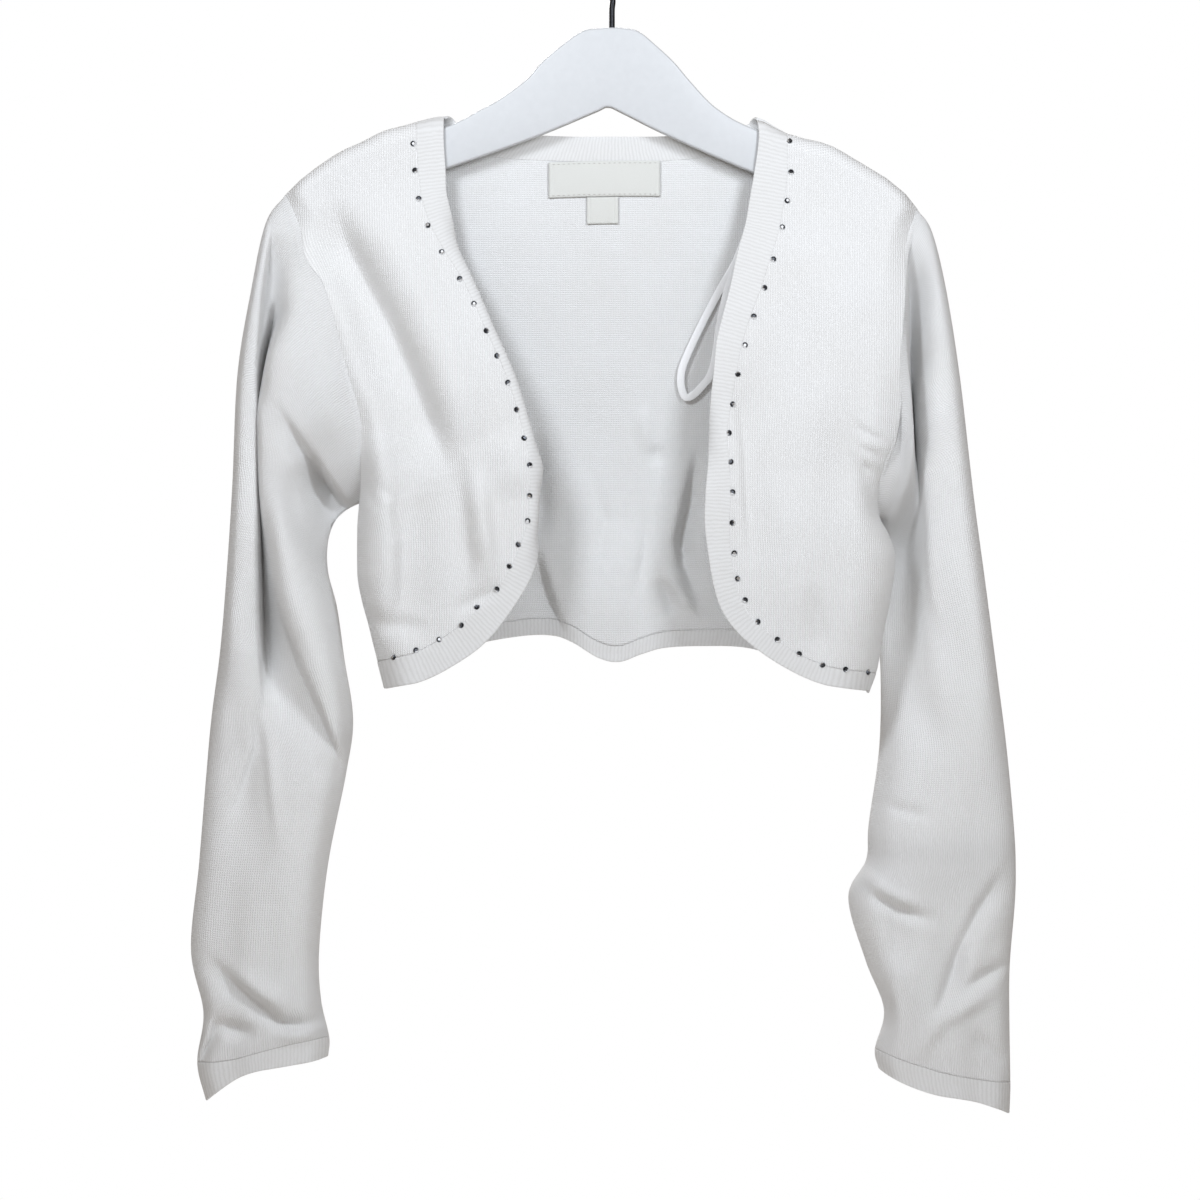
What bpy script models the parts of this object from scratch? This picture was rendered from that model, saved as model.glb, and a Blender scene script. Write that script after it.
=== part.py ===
"""A fine-knit bolero hanging on a flat board hanger.

Metres, +Z up. The origin is the inside top of the hook; the fronts face -Y and the
viewer's right is +X. Tables are in millimetres, read as seen from the front.
"""

import math

import bpy

MM = 0.001
SEAM_GAP = 0.3
CLOTH = 1.5
RIB = 2.0
SATIN = 0.8
LABEL = 0.8

# Board and hook
BOARD_HALF = 6.0
BOARD_BEVEL = 1.5
WIRE = 3.2
WIRE_SIDES = 12
HOOK_RADIUS = 17.5
HOOK_START = 250
HOOK_END = -20
HOOK_STEPS = 26
STEM = (-62 + SEAM_GAP, -52, -44)

# Turn of the cloth over the shoulder, and half its gap to the piece behind
SHOULDER_ROUND = 8.0
SHOULDER_GAP = 0.5

# Bands: the hem band's height, and the share of a front's seam above its lower corner
HEM_BAND = 9.0
CORNER = 0.80

# Stations of the pieces, as shares of their width and height, and where a piece stops
# short of its seams
PANEL_START = 0.004
PANEL_END = 0.998
PANEL_FOOT = 0.9985
BAND_START = 0.0006
BAND_END = 0.9993
PANEL_ACROSS = [0, 0.035, 0.075, 0.13, 0.22, 0.34, 0.47, 0.6, 0.73, 0.87, 1]
PANEL_DOWN = [0, 0.009, 0.018, 0.028, 0.06, 0.1, 0.15, 0.2, 0.25, 0.3, 0.35, 0.4, 0.45,
              0.5, 0.55, 0.6, 0.65, 0.7, 0.75, 0.8, 0.85, 0.9, 0.95, 1]
BAND_ACROSS = [0, 0.04, 0.33, 0.67, 1]
SHOULDER_SHARE = 0.21
NECK_MARKS = [0, 0.035, 0.075, 0.13, 0.21, 0.3, 0.4, 0.5, 0.6, 0.7, 0.79, 0.87, 0.925,
              0.965, 1]
NECK_ACROSS = (0, 0.5, 0.96)
HEM_ACROSS = (0.05, 0.5, 1)
SIDE_MARKS = [0.002, 0.018, 0.04, 0.07, 0.13]
BACK_ACROSS = (SIDE_MARKS
               + [SHOULDER_SHARE + (1 - 2 * SHOULDER_SHARE) * m for m in NECK_MARKS]
               + [1 - m for m in reversed(SIDE_MARKS)])
BACK_DOWN = [0, 0.009, 0.018, 0.028, 0.08, 0.15, 0.23, 0.31, 0.39, 0.47, 0.55, 0.63, 0.71,
             0.79, 0.86, 0.93, PANEL_FOOT]
LINE_STEPS = 8

# Least height of an outline point above the seam's end, and the share of a line on each
# side of a place that its direction is read from
FRONT_SIDE_ROOM = 4
BACK_SIDE_ROOM = 3
BAND_NEAR = 0.004
LOOP_NEAR = 0.01

# Sleeves: steps between the lines of a ring, steps between rings, the gaps at the armhole,
# wider under the arm, and how far the sleeve and its cuff stop from their seam, in rings
FRONT_STEPS = 3
BACK_STEPS = 2
RING_STEPS = 2
CUFF_RINGS = 1
ARMHOLE_GAP = 0.6
UNDERARM_GAP = 0.9
UNDERARM_REACH = 1.2
SLEEVE_SHORT = 0.012
CUFF_SHORT = 0.025

# Share of the arm's depth that its back has already reached beside its two edges
BACK_BY_OUTER = 0.75
BACK_BY_INNER = 0.72

# Shoulder line over the board, neck edge to armhole: x, z
SHOULDER = {
    "left": [(-84, -100), (-92, -110.9), (-98, -112.2), (-105, -113.8), (-117, -117),
             (-128, -120), (-140, -126), (-151, -131), (-162, -138), (-174, -147),
             (-183, -156)],
    "right": [(73, -100), (80, -111.2), (85, -114), (90, -117.2), (97, -121), (107, -124),
              (122, -128), (138, -137), (153, -146), (164, -155), (171, -164)],
}

# Armhole seam and side seam: z, x, depth of the front edge, depth of the back edge,
# width of the turn at the side, share of that turn
OUTLINE = {
    "left": [
        (-156, -183, -0.8, 0.8, 12, 0), (-164, -178, -5, 5, 12, 0),
        (-174, -174, -8, 8, 12, 0), (-192, -171, -12, 12, 12, 0),
        (-204, -162, -15, 14, 14, 0), (-224, -155, -18, 17, 16, 0),
        (-253, -148, -20, 19, 16, 0), (-281, -140, -19, 20, 16, 0),
        (-300, -140, -16, 18, 16, 0), (-315, -140, -9, 12, 16, 0.3),
        (-327, -141, 0, 3, 16, 0.8), (-340, -142, 1, 1.4, 18, 1),
        (-368, -142, 1, 1.4, 20, 1), (-380, -140, 1, 1.4, 20, 1),
        (-395, -136, 1, 1.4, 20, 1), (-411, -132, 1, 1.4, 20, 1),
        (-431, -127, 1, 1.4, 18, 1),
    ],
    "right": [
        (-164, 171, -0.8, 0.8, 12, 0), (-172, 167, -5, 5, 12, 0),
        (-184, 164, -9, 9, 12, 0), (-214, 163, -15, 14, 14, 0),
        (-242, 161, -18, 17, 16, 0), (-270, 160, -18, 19, 16, 0),
        (-292, 157, -16, 18, 16, 0), (-308, 151, -12, 14, 16, 0.2),
        (-320, 148, -7, 8, 16, 0.6), (-335, 149, -2, 1, 16, 0.9),
        (-347, 155, -2, -1.6, 22, 1), (-358, 158, -3, -2.6, 26, 1),
        (-380, 155.5, -3, -2.6, 26, 1), (-402, 151, -3, -2.6, 26, 1),
        (-420, 148, -3, -2.6, 26, 1), (-434, 143, -3, -2.6, 24, 1),
    ],
}

# Seam between front panel and rib band, neck to side seam: x, z, turn under in degrees,
# width of the band
BAND_SEAM = {
    "left": [
        (-109, -114.7, 0, 15), (-109, -127, 0, 15), (-108, -142, 0, 15),
        (-106, -158, 10, 14), (-101, -173, 50, 14), (-93, -188, 110, 14),
        (-84, -202, 165, 14), (-77, -216, 190, 14), (-70, -232, 200, 14),
        (-63, -247, 200, 14), (-57, -262, 200, 14), (-52, -278, 200, 14),
        (-48, -293, 190, 14), (-46, -308, 120, 14), (-46, -324, 165, 14),
        (-47, -338, 150, 14), (-51, -351, 80, 14), (-56, -363, 30, 13),
        (-63, -375, 5, 13), (-73, -386, 0, 15), (-83, -395.5, 0, 16),
        (-95, -404, 0, 16), (-108, -411, 0, 16), (-121, -415.5, 0, 15.5),
        (-130.5, -417, 0, 15),
    ],
    "right": [
        (97, -121, 0, 16), (98, -128, 0, 16), (98, -143, 0, 18), (96, -159, 0, 19),
        (93, -176, 0, 19), (88, -192, 0, 18.5), (83, -208, 0, 17), (77, -224, 0, 15),
        (72, -240, 0, 14), (69, -256, 0, 12.5), (66, -273, 25, 11.5),
        (64, -289, 60, 11.5), (65, -305, 30, 12), (66, -322, 0, 14), (65, -339, 0, 13.5),
        (66, -356, 0, 12.5), (68, -371, 0, 12), (72, -383, 0, 12), (79, -394, 0, 11),
        (91, -404, 0, 10.5), (103, -412, 0, 10), (116, -418, 0, 10), (129, -421.5, 0, 10),
        (142, -423, 0, 10), (147.5, -423, 0, 10),
    ],
}

# Back neck edge and back hem edge: x, z
BACK_NECK = [(-94, -111.4), (-90, -113), (-84, -115), (-74, -117.5), (-60, -119.5),
             (-45, -121), (-22, -122), (0, -122), (22, -122), (36, -121.3), (52, -119.8),
             (66, -117.5), (76, -115.2), (81.5, -112)]
NECK_SEAM = [(-109, -114.7), (-104, -121), (-95, -127), (-80, -131.5), (-62, -134),
             (-45, -135.2), (-22, -136), (0, -136), (22, -136), (36, -135.2), (54, -133.5),
             (70, -130.5), (84, -127), (93, -124), (97, -121)]
BACK_HEM = [(-127, -431), (-105, -419), (-80, -408), (-52, -402.5), (-34, -402),
            (-22, -406), (-8, -414.5), (4, -417), (17, -412.5), (30, -409), (52, -408),
            (76, -409), (100, -416), (125, -426), (143, -434)]

# Depth of the fronts and of the back down the garment: z, front, back
DEPTH = [(-112, -8.6, 8.6), (-150, -9.5, 9.5), (-190, -15, 13), (-240, -21, 19),
         (-300, -25, 25), (-360, -27, 29), (-434, -26, 30)]

# Main folds: x and z at both ends, width, depth (positive sinks into the garment)
FOLDS_FRONT = [
    (-160, -170, -118, -270, 15, 6), (-118, -270, -106, -312, 13, 5),
    (-125, -190, -92, -290, 16, -4), (-88, -300, -70, -360, 14, -3),
    (-120, -335, -119, -370, 9, 4), (128, -200, 116, -300, 20, -3),
    (140, -300, 128, -350, 14, 3), (100, -330, 108, -400, 16, -3),
]
FOLDS_BACK = [
    (-38, -345, -30, -400, 7, 5), (-12, -320, -22, -398, 10, -5),
    (28, -300, 44, -400, 12, 9), (10, -330, 4, -400, 12, -3),
]

# Sleeve rings from armhole to cuff edge. Each row holds, for the inner, inner front,
# crest, trough, strip and outer lines, x, z and depth, then the depth of the back.
SLEEVE = {
    "left": [
        ((-140, -327, 1), (-140, -298, -16), (-148, -253, -20), (-171, -192, -12),
         (-178, -164, -5), (-183, -156, 0), 19),
        ((-149, -331, 4), (-151, -304, -17), (-160, -262, -24), (-183, -215, -12),
         (-190, -190, -10), (-193, -171, 2), 22),
        ((-156, -338, 6), (-161, -316, -13), (-172, -277, -25), (-190, -240, -6),
         (-199, -224, -9), (-201, -208, 5), 26),
        ((-160, -350, 8), (-168, -332, -9), (-182, -300, -22), (-197, -274, -2),
         (-204, -262, -7), (-209, -256, 8), 29),
        ((-160, -366, 10), (-171, -354, -8), (-186, -336, -18), (-199, -325, 0),
         (-206, -320, -6), (-212, -318, 10), 30),
        ((-155, -386, 12), (-166, -383, -10), (-181, -378, -18), (-198, -375, 2),
         (-207, -372, -5), (-215.5, -370, 12), 31),
        ((-151, -414, 12), (-159, -415, -12), (-172, -414, -17), (-193, -412, 1),
         (-208, -412, -6), (-219, -410, 12), 31),
        ((-146, -449, 12), (-154, -450, -9), (-167, -450, -14), (-188, -449, -5),
         (-209, -448, -8), (-224, -448, 12), 31),
        ((-150, -480, 12), (-160, -481, -8), (-177, -481, -14), (-194, -481, -12),
         (-212, -481, -8), (-227, -481, 12), 30),
        ((-160, -530, 12), (-170, -531, -8), (-184, -532, -13), (-200, -532, -12),
         (-216, -532, -8), (-231, -530, 12), 29),
        ((-165, -578, 12), (-174, -580, -6), (-188, -582, -12), (-204, -583, -12),
         (-220, -583, -7), (-235.5, -578, 12), 28),
        ((-164, -606, 12), (-173, -608, -7), (-187, -611, -12), (-202, -613, -10),
         (-217, -614, -6), (-230, -612, 12), 28),
        ((-159.5, -627, 12), (-169, -628, -6), (-185, -631, -10), (-201, -636, -9),
         (-216, -640, -5), (-232, -641, 12), 27),
        ((-160, -638, 12), (-169, -640, -6), (-184, -642.5, -10), (-200, -646, -9),
         (-215, -653, -5), (-231.5, -664, 12), 27),
    ],
    "right": [
        ((150, -335, 0), (149, -318, -9), (160, -270, -18), (163, -214, -14),
         (167, -176, -6), (171, -164, 0), 18),
        ((156, -334, 5), (160, -320, -9), (168, -276, -17), (169, -226, -8),
         (176, -196, -8), (178.5, -176, 2), 22),
        ((160, -339, 13), (166, -327, 0), (171, -288, -9), (173, -250, 1),
         (181, -226, -6), (186.5, -208, 8), 28),
        ((158, -351, 21), (167, -341, 8), (173, -312, -2), (177, -285, 1),
         (187, -265, -4), (194.5, -258, 13), 34),
        ((156, -367, 25), (167, -360, 8), (176, -346, -2), (185, -336, -3),
         (194, -327, -3), (202, -322, 16), 38),
        ((154, -390, 26), (166, -387, 8), (177, -383, -3), (188, -380, -5),
         (200, -377, -2), (209, -374, 18), 39),
        ((153, -426, 25), (165, -427, 5), (178, -428, -5), (192, -428, -6),
         (206, -427, -2), (215.5, -424, 18), 38),
        ((151, -466, 22), (162, -468, 1), (178, -470, -7), (194, -470, -8),
         (210, -469, -2), (221, -466, 18), 37),
        ((145, -508, 18), (156, -510, -2), (173, -511, -9), (191, -511, -9),
         (211, -510, -3), (225, -509, 18), 36),
        ((143.5, -528, 17), (155, -529, -3), (172, -531, -10), (191, -531, -9),
         (211, -530, -3), (226, -530, 18), 36),
        ((133.5, -549, 16), (147, -550, -4), (169, -552, -10), (189, -552, -8),
         (211, -551, -3), (225.5, -551, 18), 36),
        ((143, -584, 16), (155, -586, -4), (172, -588, -10), (191, -588, -6),
         (210, -587, -4), (222.5, -588, 18), 34),
        ((153.5, -612, 16), (163, -614, -4), (177, -618, -9), (193, -621, -9),
         (210, -622, -4), (222.5, -622, 18), 33),
        ((148.5, -634, 16), (159, -638, -3), (175, -643, -8), (193, -648, -8),
         (210, -651, -3), (223, -652, 18), 32),
        ((150.5, -645, 16), (161, -651, -3), (177, -657, -8), (194, -661, -8),
         (210, -664, -3), (222.5, -670, 18), 32),
    ],
}
LAST_LINE = 5

# Edge of the board from the left arm over the top to the right arm, and back below: x, z
BOARD_TOP = [(-160, -144), (-151, -137.5), (-140, -132), (-128, -126.5), (-117, -123),
             (-105, -120.5), (-92, -117), (-83, -113), (-74, -108), (-63, -102), (-48, -91),
             (-40, -82), (-31, -74), (-17, -64), (-6, -62), (0, -62), (6, -62), (15, -64),
             (26, -73), (35, -81.5), (43, -91), (55, -104), (66, -112), (76, -117),
             (88, -122), (97, -126), (107, -130), (122, -135), (138, -143.5), (149, -151)]
BOARD_LOW = [(153, -157), (153, -164), (147, -168), (120, -158), (77, -142), (31, -122),
             (-3, -106), (-43, -123), (-88, -139), (-130, -153), (-156, -162),
             (-163, -158), (-164, -150)]

# Label, size tab and hanging loop, which are lifted off the back's middle surface
LABEL_LIFT = 1.8
LABEL_CENTRE = (-4, -144)
LABEL_SIZE = (60, 19)
LABEL_STEPS = (6, 2)
TAB_CENTRE = (-5, -164)
TAB_SIZE = (17, 16)
TAB_STEPS = (2, 2)
LOOP = [(90, -150), (81, -172), (72, -190), (58, -212), (48, -231), (38, -249), (36, -259),
        (41, -266), (48, -267), (54, -259), (56, -248), (60, -225), (67, -200), (75, -178),
        (84, -151)]
LOOP_LIFT = [(1.45,), (1.6,), (2.3,), (2.9,), (3.0,), (1.45,)]
LOOP_WIDTH = 3.5
LOOP_STEPS = 36


def blend(a, b, t):
    return tuple(p + (q - p) * t for p, q in zip(a, b))


def spline(points, t):
    """The point at position t, counted in points, of a smooth line through them."""
    last = len(points) - 1
    i = min(max(int(math.floor(t)), 0), last - 1)
    f = min(max(t - i, 0.0), 1.0)
    b = points[i]
    c = points[i + 1]
    a = points[i - 1] if i > 0 else blend(b, c, -1)
    d = points[i + 2] if i + 2 <= last else blend(c, b, -1)
    made = []
    for k in range(len(b)):
        rise = (c[k] - a[k]) / 2
        fall = (d[k] - b[k]) / 2
        h = f * f
        g = h * f
        made.append(b[k] * (2 * g - 3 * h + 1) + rise * (g - 2 * h + f)
                    + c[k] * (3 * h - 2 * g) + fall * (g - h))
    return tuple(made)


def evenly(points, share):
    """The point at a share of the length of a smooth line, measured on its x and z."""
    steps = LINE_STEPS * (len(points) - 1)
    dense = [spline(points, i / LINE_STEPS) for i in range(steps + 1)]
    marks = [0.0]
    for p, q in zip(dense, dense[1:]):
        marks.append(marks[-1] + math.hypot(q[0] - p[0], q[1] - p[1]))
    want = share * marks[-1]
    for i in range(steps):
        if want <= marks[i + 1] or i == steps - 1:
            f = (want - marks[i]) / max(marks[i + 1] - marks[i], 1e-9)
            return blend(dense[i], dense[i + 1], f)
    return dense[-1]


def row_at(table, value):
    """The row of a table at a value of its first column, smooth between its rows."""
    sign = -1 if table[0][0] > table[-1][0] else 1
    if sign * value <= sign * table[0][0]:
        return table[0]
    for i in range(len(table) - 1):
        if sign * value <= sign * table[i + 1][0]:
            f = (value - table[i][0]) / (table[i + 1][0] - table[i][0])
            return spline(table, i + f)
    return table[-1]


def fold_sum(x, z, folds):
    total = 0.0
    for x1, z1, x2, z2, width, depth in folds:
        run = (x2 - x1) ** 2 + (z2 - z1) ** 2
        t = ((x - x1) * (x2 - x1) + (z - z1) * (z2 - z1)) / run
        t = min(max(t, 0.0), 1.0)
        away = math.hypot(x - x1 - t * (x2 - x1), z - z1 - t * (z2 - z1))
        total += depth * math.exp(-((away / width) ** 2))
    return total


def top_at(side, x):
    """Height of the shoulder line above x."""
    line = SHOULDER[side]
    if side == "left":
        line = line[::-1]
    return row_at(line, x)[1]


def body_point(side, face, x, z):
    """The body's cloth at a place of its flat outline: rounded over the board at the
    shoulder and round the side at the side seam. Face is -1 for a front, 1 for the back."""
    _, edge_x, edge_front, edge_back, turn, share = row_at(OUTLINE[side], z)
    depth_row = row_at(DEPTH, z)
    if face < 0:
        field = depth_row[1] + fold_sum(x, z, FOLDS_FRONT)
        edge = edge_front
    else:
        field = depth_row[2] - fold_sum(x, z, FOLDS_BACK)
        edge = edge_back
    inward = 1 if side == "left" else -1
    in_by = max((x - edge_x) * inward, 0.0)
    angle = min(in_by / turn, 1.0) * math.pi / 2
    y = edge + (field - edge) * math.sin(angle)
    if in_by < turn:
        turned = edge_x + inward * turn * (1 - math.cos(angle))
        x = x + (turned - x) * share
    top = top_at(side, x)
    below = max(top - z, 0.0)
    if below < SHOULDER_ROUND:
        lean = below / SHOULDER_ROUND * math.pi / 2
        y = face * SHOULDER_GAP + (y - face * SHOULDER_GAP) * math.sin(lean)
        z = top - SHOULDER_ROUND * (1 - math.cos(lean))
    return x, y, z


def outline_line(side):
    return [(row[1], row[0]) for row in OUTLINE[side]]


def front_patch(side, u, v):
    """A place on the flat front panel: u from the outline to the band seam, v downwards."""
    seam = [(row[0], row[1]) for row in BAND_SEAM[side]]
    neck = seam[0]
    side_end = seam[-1]
    tip = SHOULDER[side][-1]
    outer_line = [p for p in outline_line(side) if p[1] > side_end[1] + FRONT_SIDE_ROOM]
    outer_line.append(side_end)
    outer_z = evenly(outer_line, v)[1]
    outer = (row_at(OUTLINE[side], outer_z)[1], outer_z)
    inner = evenly(seam, CORNER * v)
    low = evenly(seam, 1 - (1 - CORNER) * u)
    high_x = tip[0] + (neck[0] - tip[0]) * u
    high = (high_x, top_at(side, high_x))
    return patch(u, v, (outer, inner, high, low), (tip, neck, side_end, evenly(seam, CORNER)))


def patch(u, v, edges, corners):
    """A place inside four edges: the start and end of u, then the start and end of v."""
    place = []
    for k in range(2):
        start, end, high, low = (edge[k] for edge in edges)
        a, b, c, d = (corner[k] for corner in corners)
        between = (1 - u) * start + u * end + (1 - v) * high + v * low
        place.append(between - (1 - u) * (1 - v) * a - u * (1 - v) * b
                     - (1 - u) * v * c - u * v * d)
    return tuple(place)


def unit(v):
    size = math.sqrt(sum(c * c for c in v)) or 1.0
    return tuple(c / size for c in v)


def cross(a, b):
    return (a[1] * b[2] - a[2] * b[1], a[2] * b[0] - a[0] * b[2], a[0] * b[1] - a[1] * b[0])


def minus(a, b):
    return tuple(p - q for p, q in zip(a, b))


def plus(a, b, times=1.0):
    return tuple(p + q * times for p, q in zip(a, b))


def normals(grid, closed):
    """Unit normals of a grid of points from its neighbours; closed joins each row's ends."""
    rows = len(grid)
    cols = len(grid[0])
    made = []
    for i in range(rows):
        line = []
        for j in range(cols):
            up = grid[max(i - 1, 0)][j]
            down = grid[min(i + 1, rows - 1)][j]
            if closed:
                before = grid[i][(j - 1) % cols]
                after = grid[i][(j + 1) % cols]
            else:
                before = grid[i][max(j - 1, 0)]
                after = grid[i][min(j + 1, cols - 1)]
            line.append(unit(cross(minus(after, before), minus(down, up))))
        made.append(line)
    return made


def cloth(name, grid, thickness, material, closed=False):
    """A closed solid: the grid moved half the thickness to each side, and rims between."""
    rows = len(grid)
    cols = len(grid[0])
    away = normals(grid, closed)
    half = thickness / 2
    points = []
    for sign in (1, -1):
        for i in range(rows):
            for j in range(cols):
                points.append(plus(grid[i][j], away[i][j], sign * half))
    count = rows * cols
    faces = []
    spans = cols if closed else cols - 1
    for i in range(rows - 1):
        for j in range(spans):
            k = (j + 1) % cols
            a, b, c, d = i * cols + j, i * cols + k, (i + 1) * cols + k, (i + 1) * cols + j
            faces.append((a, b, c, d))
            faces.append((count + d, count + c, count + b, count + a))
    for j in range(spans):
        k = (j + 1) % cols
        faces.append((j, count + j, count + k, k))
        low = (rows - 1) * cols
        faces.append((low + k, count + low + k, count + low + j, low + j))
    if not closed:
        for i in range(rows - 1):
            a, b = i * cols, (i + 1) * cols
            faces.append((b, count + b, count + a, a))
            a, b = i * cols + cols - 1, (i + 1) * cols + cols - 1
            faces.append((a, count + a, count + b, b))
    return solid(name, points, faces, material)


def solid(name, points, faces, material):
    mesh = bpy.data.meshes.new(name)
    mesh.from_pydata([tuple(c * MM for c in p) for p in points], [], faces)
    mesh.update()
    if signed_volume(mesh) < 0:
        mesh.flip_normals()
    mesh.materials.append(material)
    made = bpy.data.objects.new(name, mesh)
    bpy.context.scene.collection.objects.link(made)
    return made


def signed_volume(mesh):
    total = 0.0
    mesh.calc_loop_triangles()
    for triangle in mesh.loop_triangles:
        a, b, c = (mesh.vertices[k].co for k in triangle.vertices)
        total += a.dot(b.cross(c))
    return total


def material(name, colour, roughness, metallic=0.0):
    made = bpy.data.materials.new(name)
    made.use_nodes = True
    shader = made.node_tree.nodes["Principled BSDF"]
    shader.inputs["Base Color"].default_value = (*colour, 1.0)
    shader.inputs["Roughness"].default_value = roughness
    shader.inputs["Metallic"].default_value = metallic
    made.diffuse_color = (*colour, 1.0)
    return made


def front_panel(side, fabric):
    across = [PANEL_START + (PANEL_END - PANEL_START) * m for m in PANEL_ACROSS]
    down = PANEL_DOWN[:-1] + [PANEL_FOOT]
    grid = []
    for v in down:
        row = []
        for u in across:
            x, z = front_patch(side, u, v)
            row.append(body_point(side, -1, x, z))
        grid.append(row)
    return cloth(f"front_{side}", grid, CLOTH, fabric)


def band_place(side, share, across):
    """The front band at a share of its seam and a share of its width, turned under."""
    seam = BAND_SEAM[side]
    x, z, turn, width = evenly(seam, share)
    x1, z1 = evenly(seam, max(share - BAND_NEAR, 0))[:2]
    x2, z2 = evenly(seam, min(share + BAND_NEAR, 1))[:2]
    along = unit((x2 - x1, 0, z2 - z1))
    out = (-along[2], 0, along[0]) if side == "left" else (along[2], 0, -along[0])
    bend = max(math.radians(turn), 1e-3)
    radius = width / bend
    away = SEAM_GAP + across * (width - SEAM_GAP)
    angle = away / radius
    reach = radius * math.sin(angle)
    sink = radius * (1 - math.cos(angle))
    fx, fz = x + out[0] * reach, z + out[2] * reach
    px, py, pz = body_point(side, -1, fx, fz)
    return px, py + sink, pz


def front_band(side, rib):
    grid = []
    marks = [CORNER * v for v in PANEL_DOWN]
    marks += [1 - (1 - CORNER) * u for u in reversed(PANEL_ACROSS[:-1])]
    marks[0] = BAND_START
    marks[-1] = BAND_END
    for share in marks:
        row = []
        for m in BAND_ACROSS:
            row.append(band_place(side, share, m))
        grid.append(row)
    return cloth(f"band_front_{side}", grid, RIB, rib)


def back_side(x):
    return "left" if x < 0 else "right"


def back_point(x, z):
    return body_point(back_side(x), 1, x, z)


def hem_line(up):
    """The back hem edge, or the line a distance up from it, ending on the side seams."""
    line = [(x, z + up) for x, z in BACK_HEM]
    for side, index in (("left", 0), ("right", -1)):
        z = line[index][1]
        line[index] = (row_at(OUTLINE[side], z)[1], z)
    return line


def back_top(u):
    """The back panel's top: left shoulder, neck seam, right shoulder."""
    neck_left = NECK_SEAM[0][0]
    neck_right = NECK_SEAM[-1][0]
    if u < SHOULDER_SHARE:
        tip = OUTLINE["left"][0][1]
        x = tip + (neck_left - tip) * u / SHOULDER_SHARE
        return x, top_at("left", x)
    if u > 1 - SHOULDER_SHARE:
        tip = OUTLINE["right"][0][1]
        x = neck_right + (tip - neck_right) * (u - 1 + SHOULDER_SHARE) / SHOULDER_SHARE
        return x, top_at("right", x)
    return evenly(NECK_SEAM, (u - SHOULDER_SHARE) / (1 - 2 * SHOULDER_SHARE))


def back_patch(u, v):
    """A place on the flat back panel: u from left to right, v downwards."""
    seam = hem_line(HEM_BAND)
    left = [p for p in outline_line("left") if p[1] > seam[0][1] + BACK_SIDE_ROOM]
    left.append(seam[0])
    right = [p for p in outline_line("right") if p[1] > seam[-1][1] + BACK_SIDE_ROOM]
    right.append(seam[-1])
    a_z = evenly(left, v)[1]
    b_z = evenly(right, v)[1]
    a = (row_at(OUTLINE["left"], a_z)[1], a_z)
    b = (row_at(OUTLINE["right"], b_z)[1], b_z)
    return patch(u, v, (a, b, back_top(u), evenly(seam, u)),
                 (back_top(0), back_top(1), seam[0], seam[-1]))


def back_panel(fabric):
    grid = [[back_point(*back_patch(u, v)) for u in BACK_ACROSS] for v in BACK_DOWN]
    return cloth("back_panel", grid, CLOTH, fabric)


def strip_between(name, line_a, line_b, marks, across, thickness, fabric):
    """A band of the back between two lines of its flat outline."""
    grid = []
    for m in across:
        row = []
        for s in marks:
            p = evenly(line_a, s)
            q = evenly(line_b, s)
            row.append(back_point(p[0] + (q[0] - p[0]) * m, p[1] + (q[1] - p[1]) * m))
        grid.append(row)
    return cloth(name, grid, thickness, fabric)


def neck_band(rib):
    return strip_between("band_neck_back", BACK_NECK, NECK_SEAM, NECK_MARKS,
                         NECK_ACROSS, RIB, rib)


def hem_band(rib):
    return strip_between("hem_band_back", hem_line(HEM_BAND), hem_line(0), BACK_ACROSS,
                         HEM_ACROSS, RIB, rib)


def ring_point(side, ring, t):
    """A place on a sleeve ring; t counts its lines: inner, front, outer, back, inner."""
    row = SLEEVE[side][ring]
    inner, front_in, crest, trough, strip, outer, back = row
    if ring == 0:
        return armhole_point(side, t)
    behind = [(strip[0], strip[1], outer[2] + (back - outer[2]) * BACK_BY_OUTER),
              (trough[0], trough[1], back), (crest[0], crest[1], back),
              (front_in[0], front_in[1], inner[2] + (back - inner[2]) * BACK_BY_INNER)]
    lines = [inner, front_in, crest, trough, strip, outer] + behind
    around = [lines[-1]] + lines + lines[:2]
    x, z, y = spline(around, t + 1)
    return x, y, z


def armhole_point(side, t):
    """A place on the armhole seam, just outside the body's cloth."""
    row = SLEEVE[side][0]
    whole = 2 * LAST_LINE
    heights = [(row[k][1],) for k in range(LAST_LINE + 1)]
    turn = t if t <= LAST_LINE else whole - t
    z = spline(heights, turn)[0]
    face = -1 if t <= LAST_LINE else 1
    edge_x = row_at(OUTLINE[side], z)[1]
    x, y, z = body_point(side, face, edge_x, z)
    if t in (0, LAST_LINE, whole):
        other = body_point(side, -face, edge_x, z)
        y = (y + other[1]) / 2
    outward = -1 if side == "left" else 1
    under = math.exp(-((min(t, whole - t) / UNDERARM_REACH) ** 2))
    return x + outward * (ARMHOLE_GAP + UNDERARM_GAP * under), y, z


def ring_marks():
    front = [i / FRONT_STEPS for i in range(LAST_LINE * FRONT_STEPS)]
    return front + [LAST_LINE + i / BACK_STEPS for i in range(LAST_LINE * BACK_STEPS)]


def sleeve_rows(side, low, high, steps):
    """Rows of the sleeve between two ring counts."""
    marks = ring_marks()
    count = len(SLEEVE[side])
    columns = [[ring_point(side, ring, t) for ring in range(count)] for t in marks]
    rows = []
    for i in range(steps + 1):
        place = low + (high - low) * i / steps
        rows.append([spline(column, place) for column in columns])
    return rows


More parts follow.
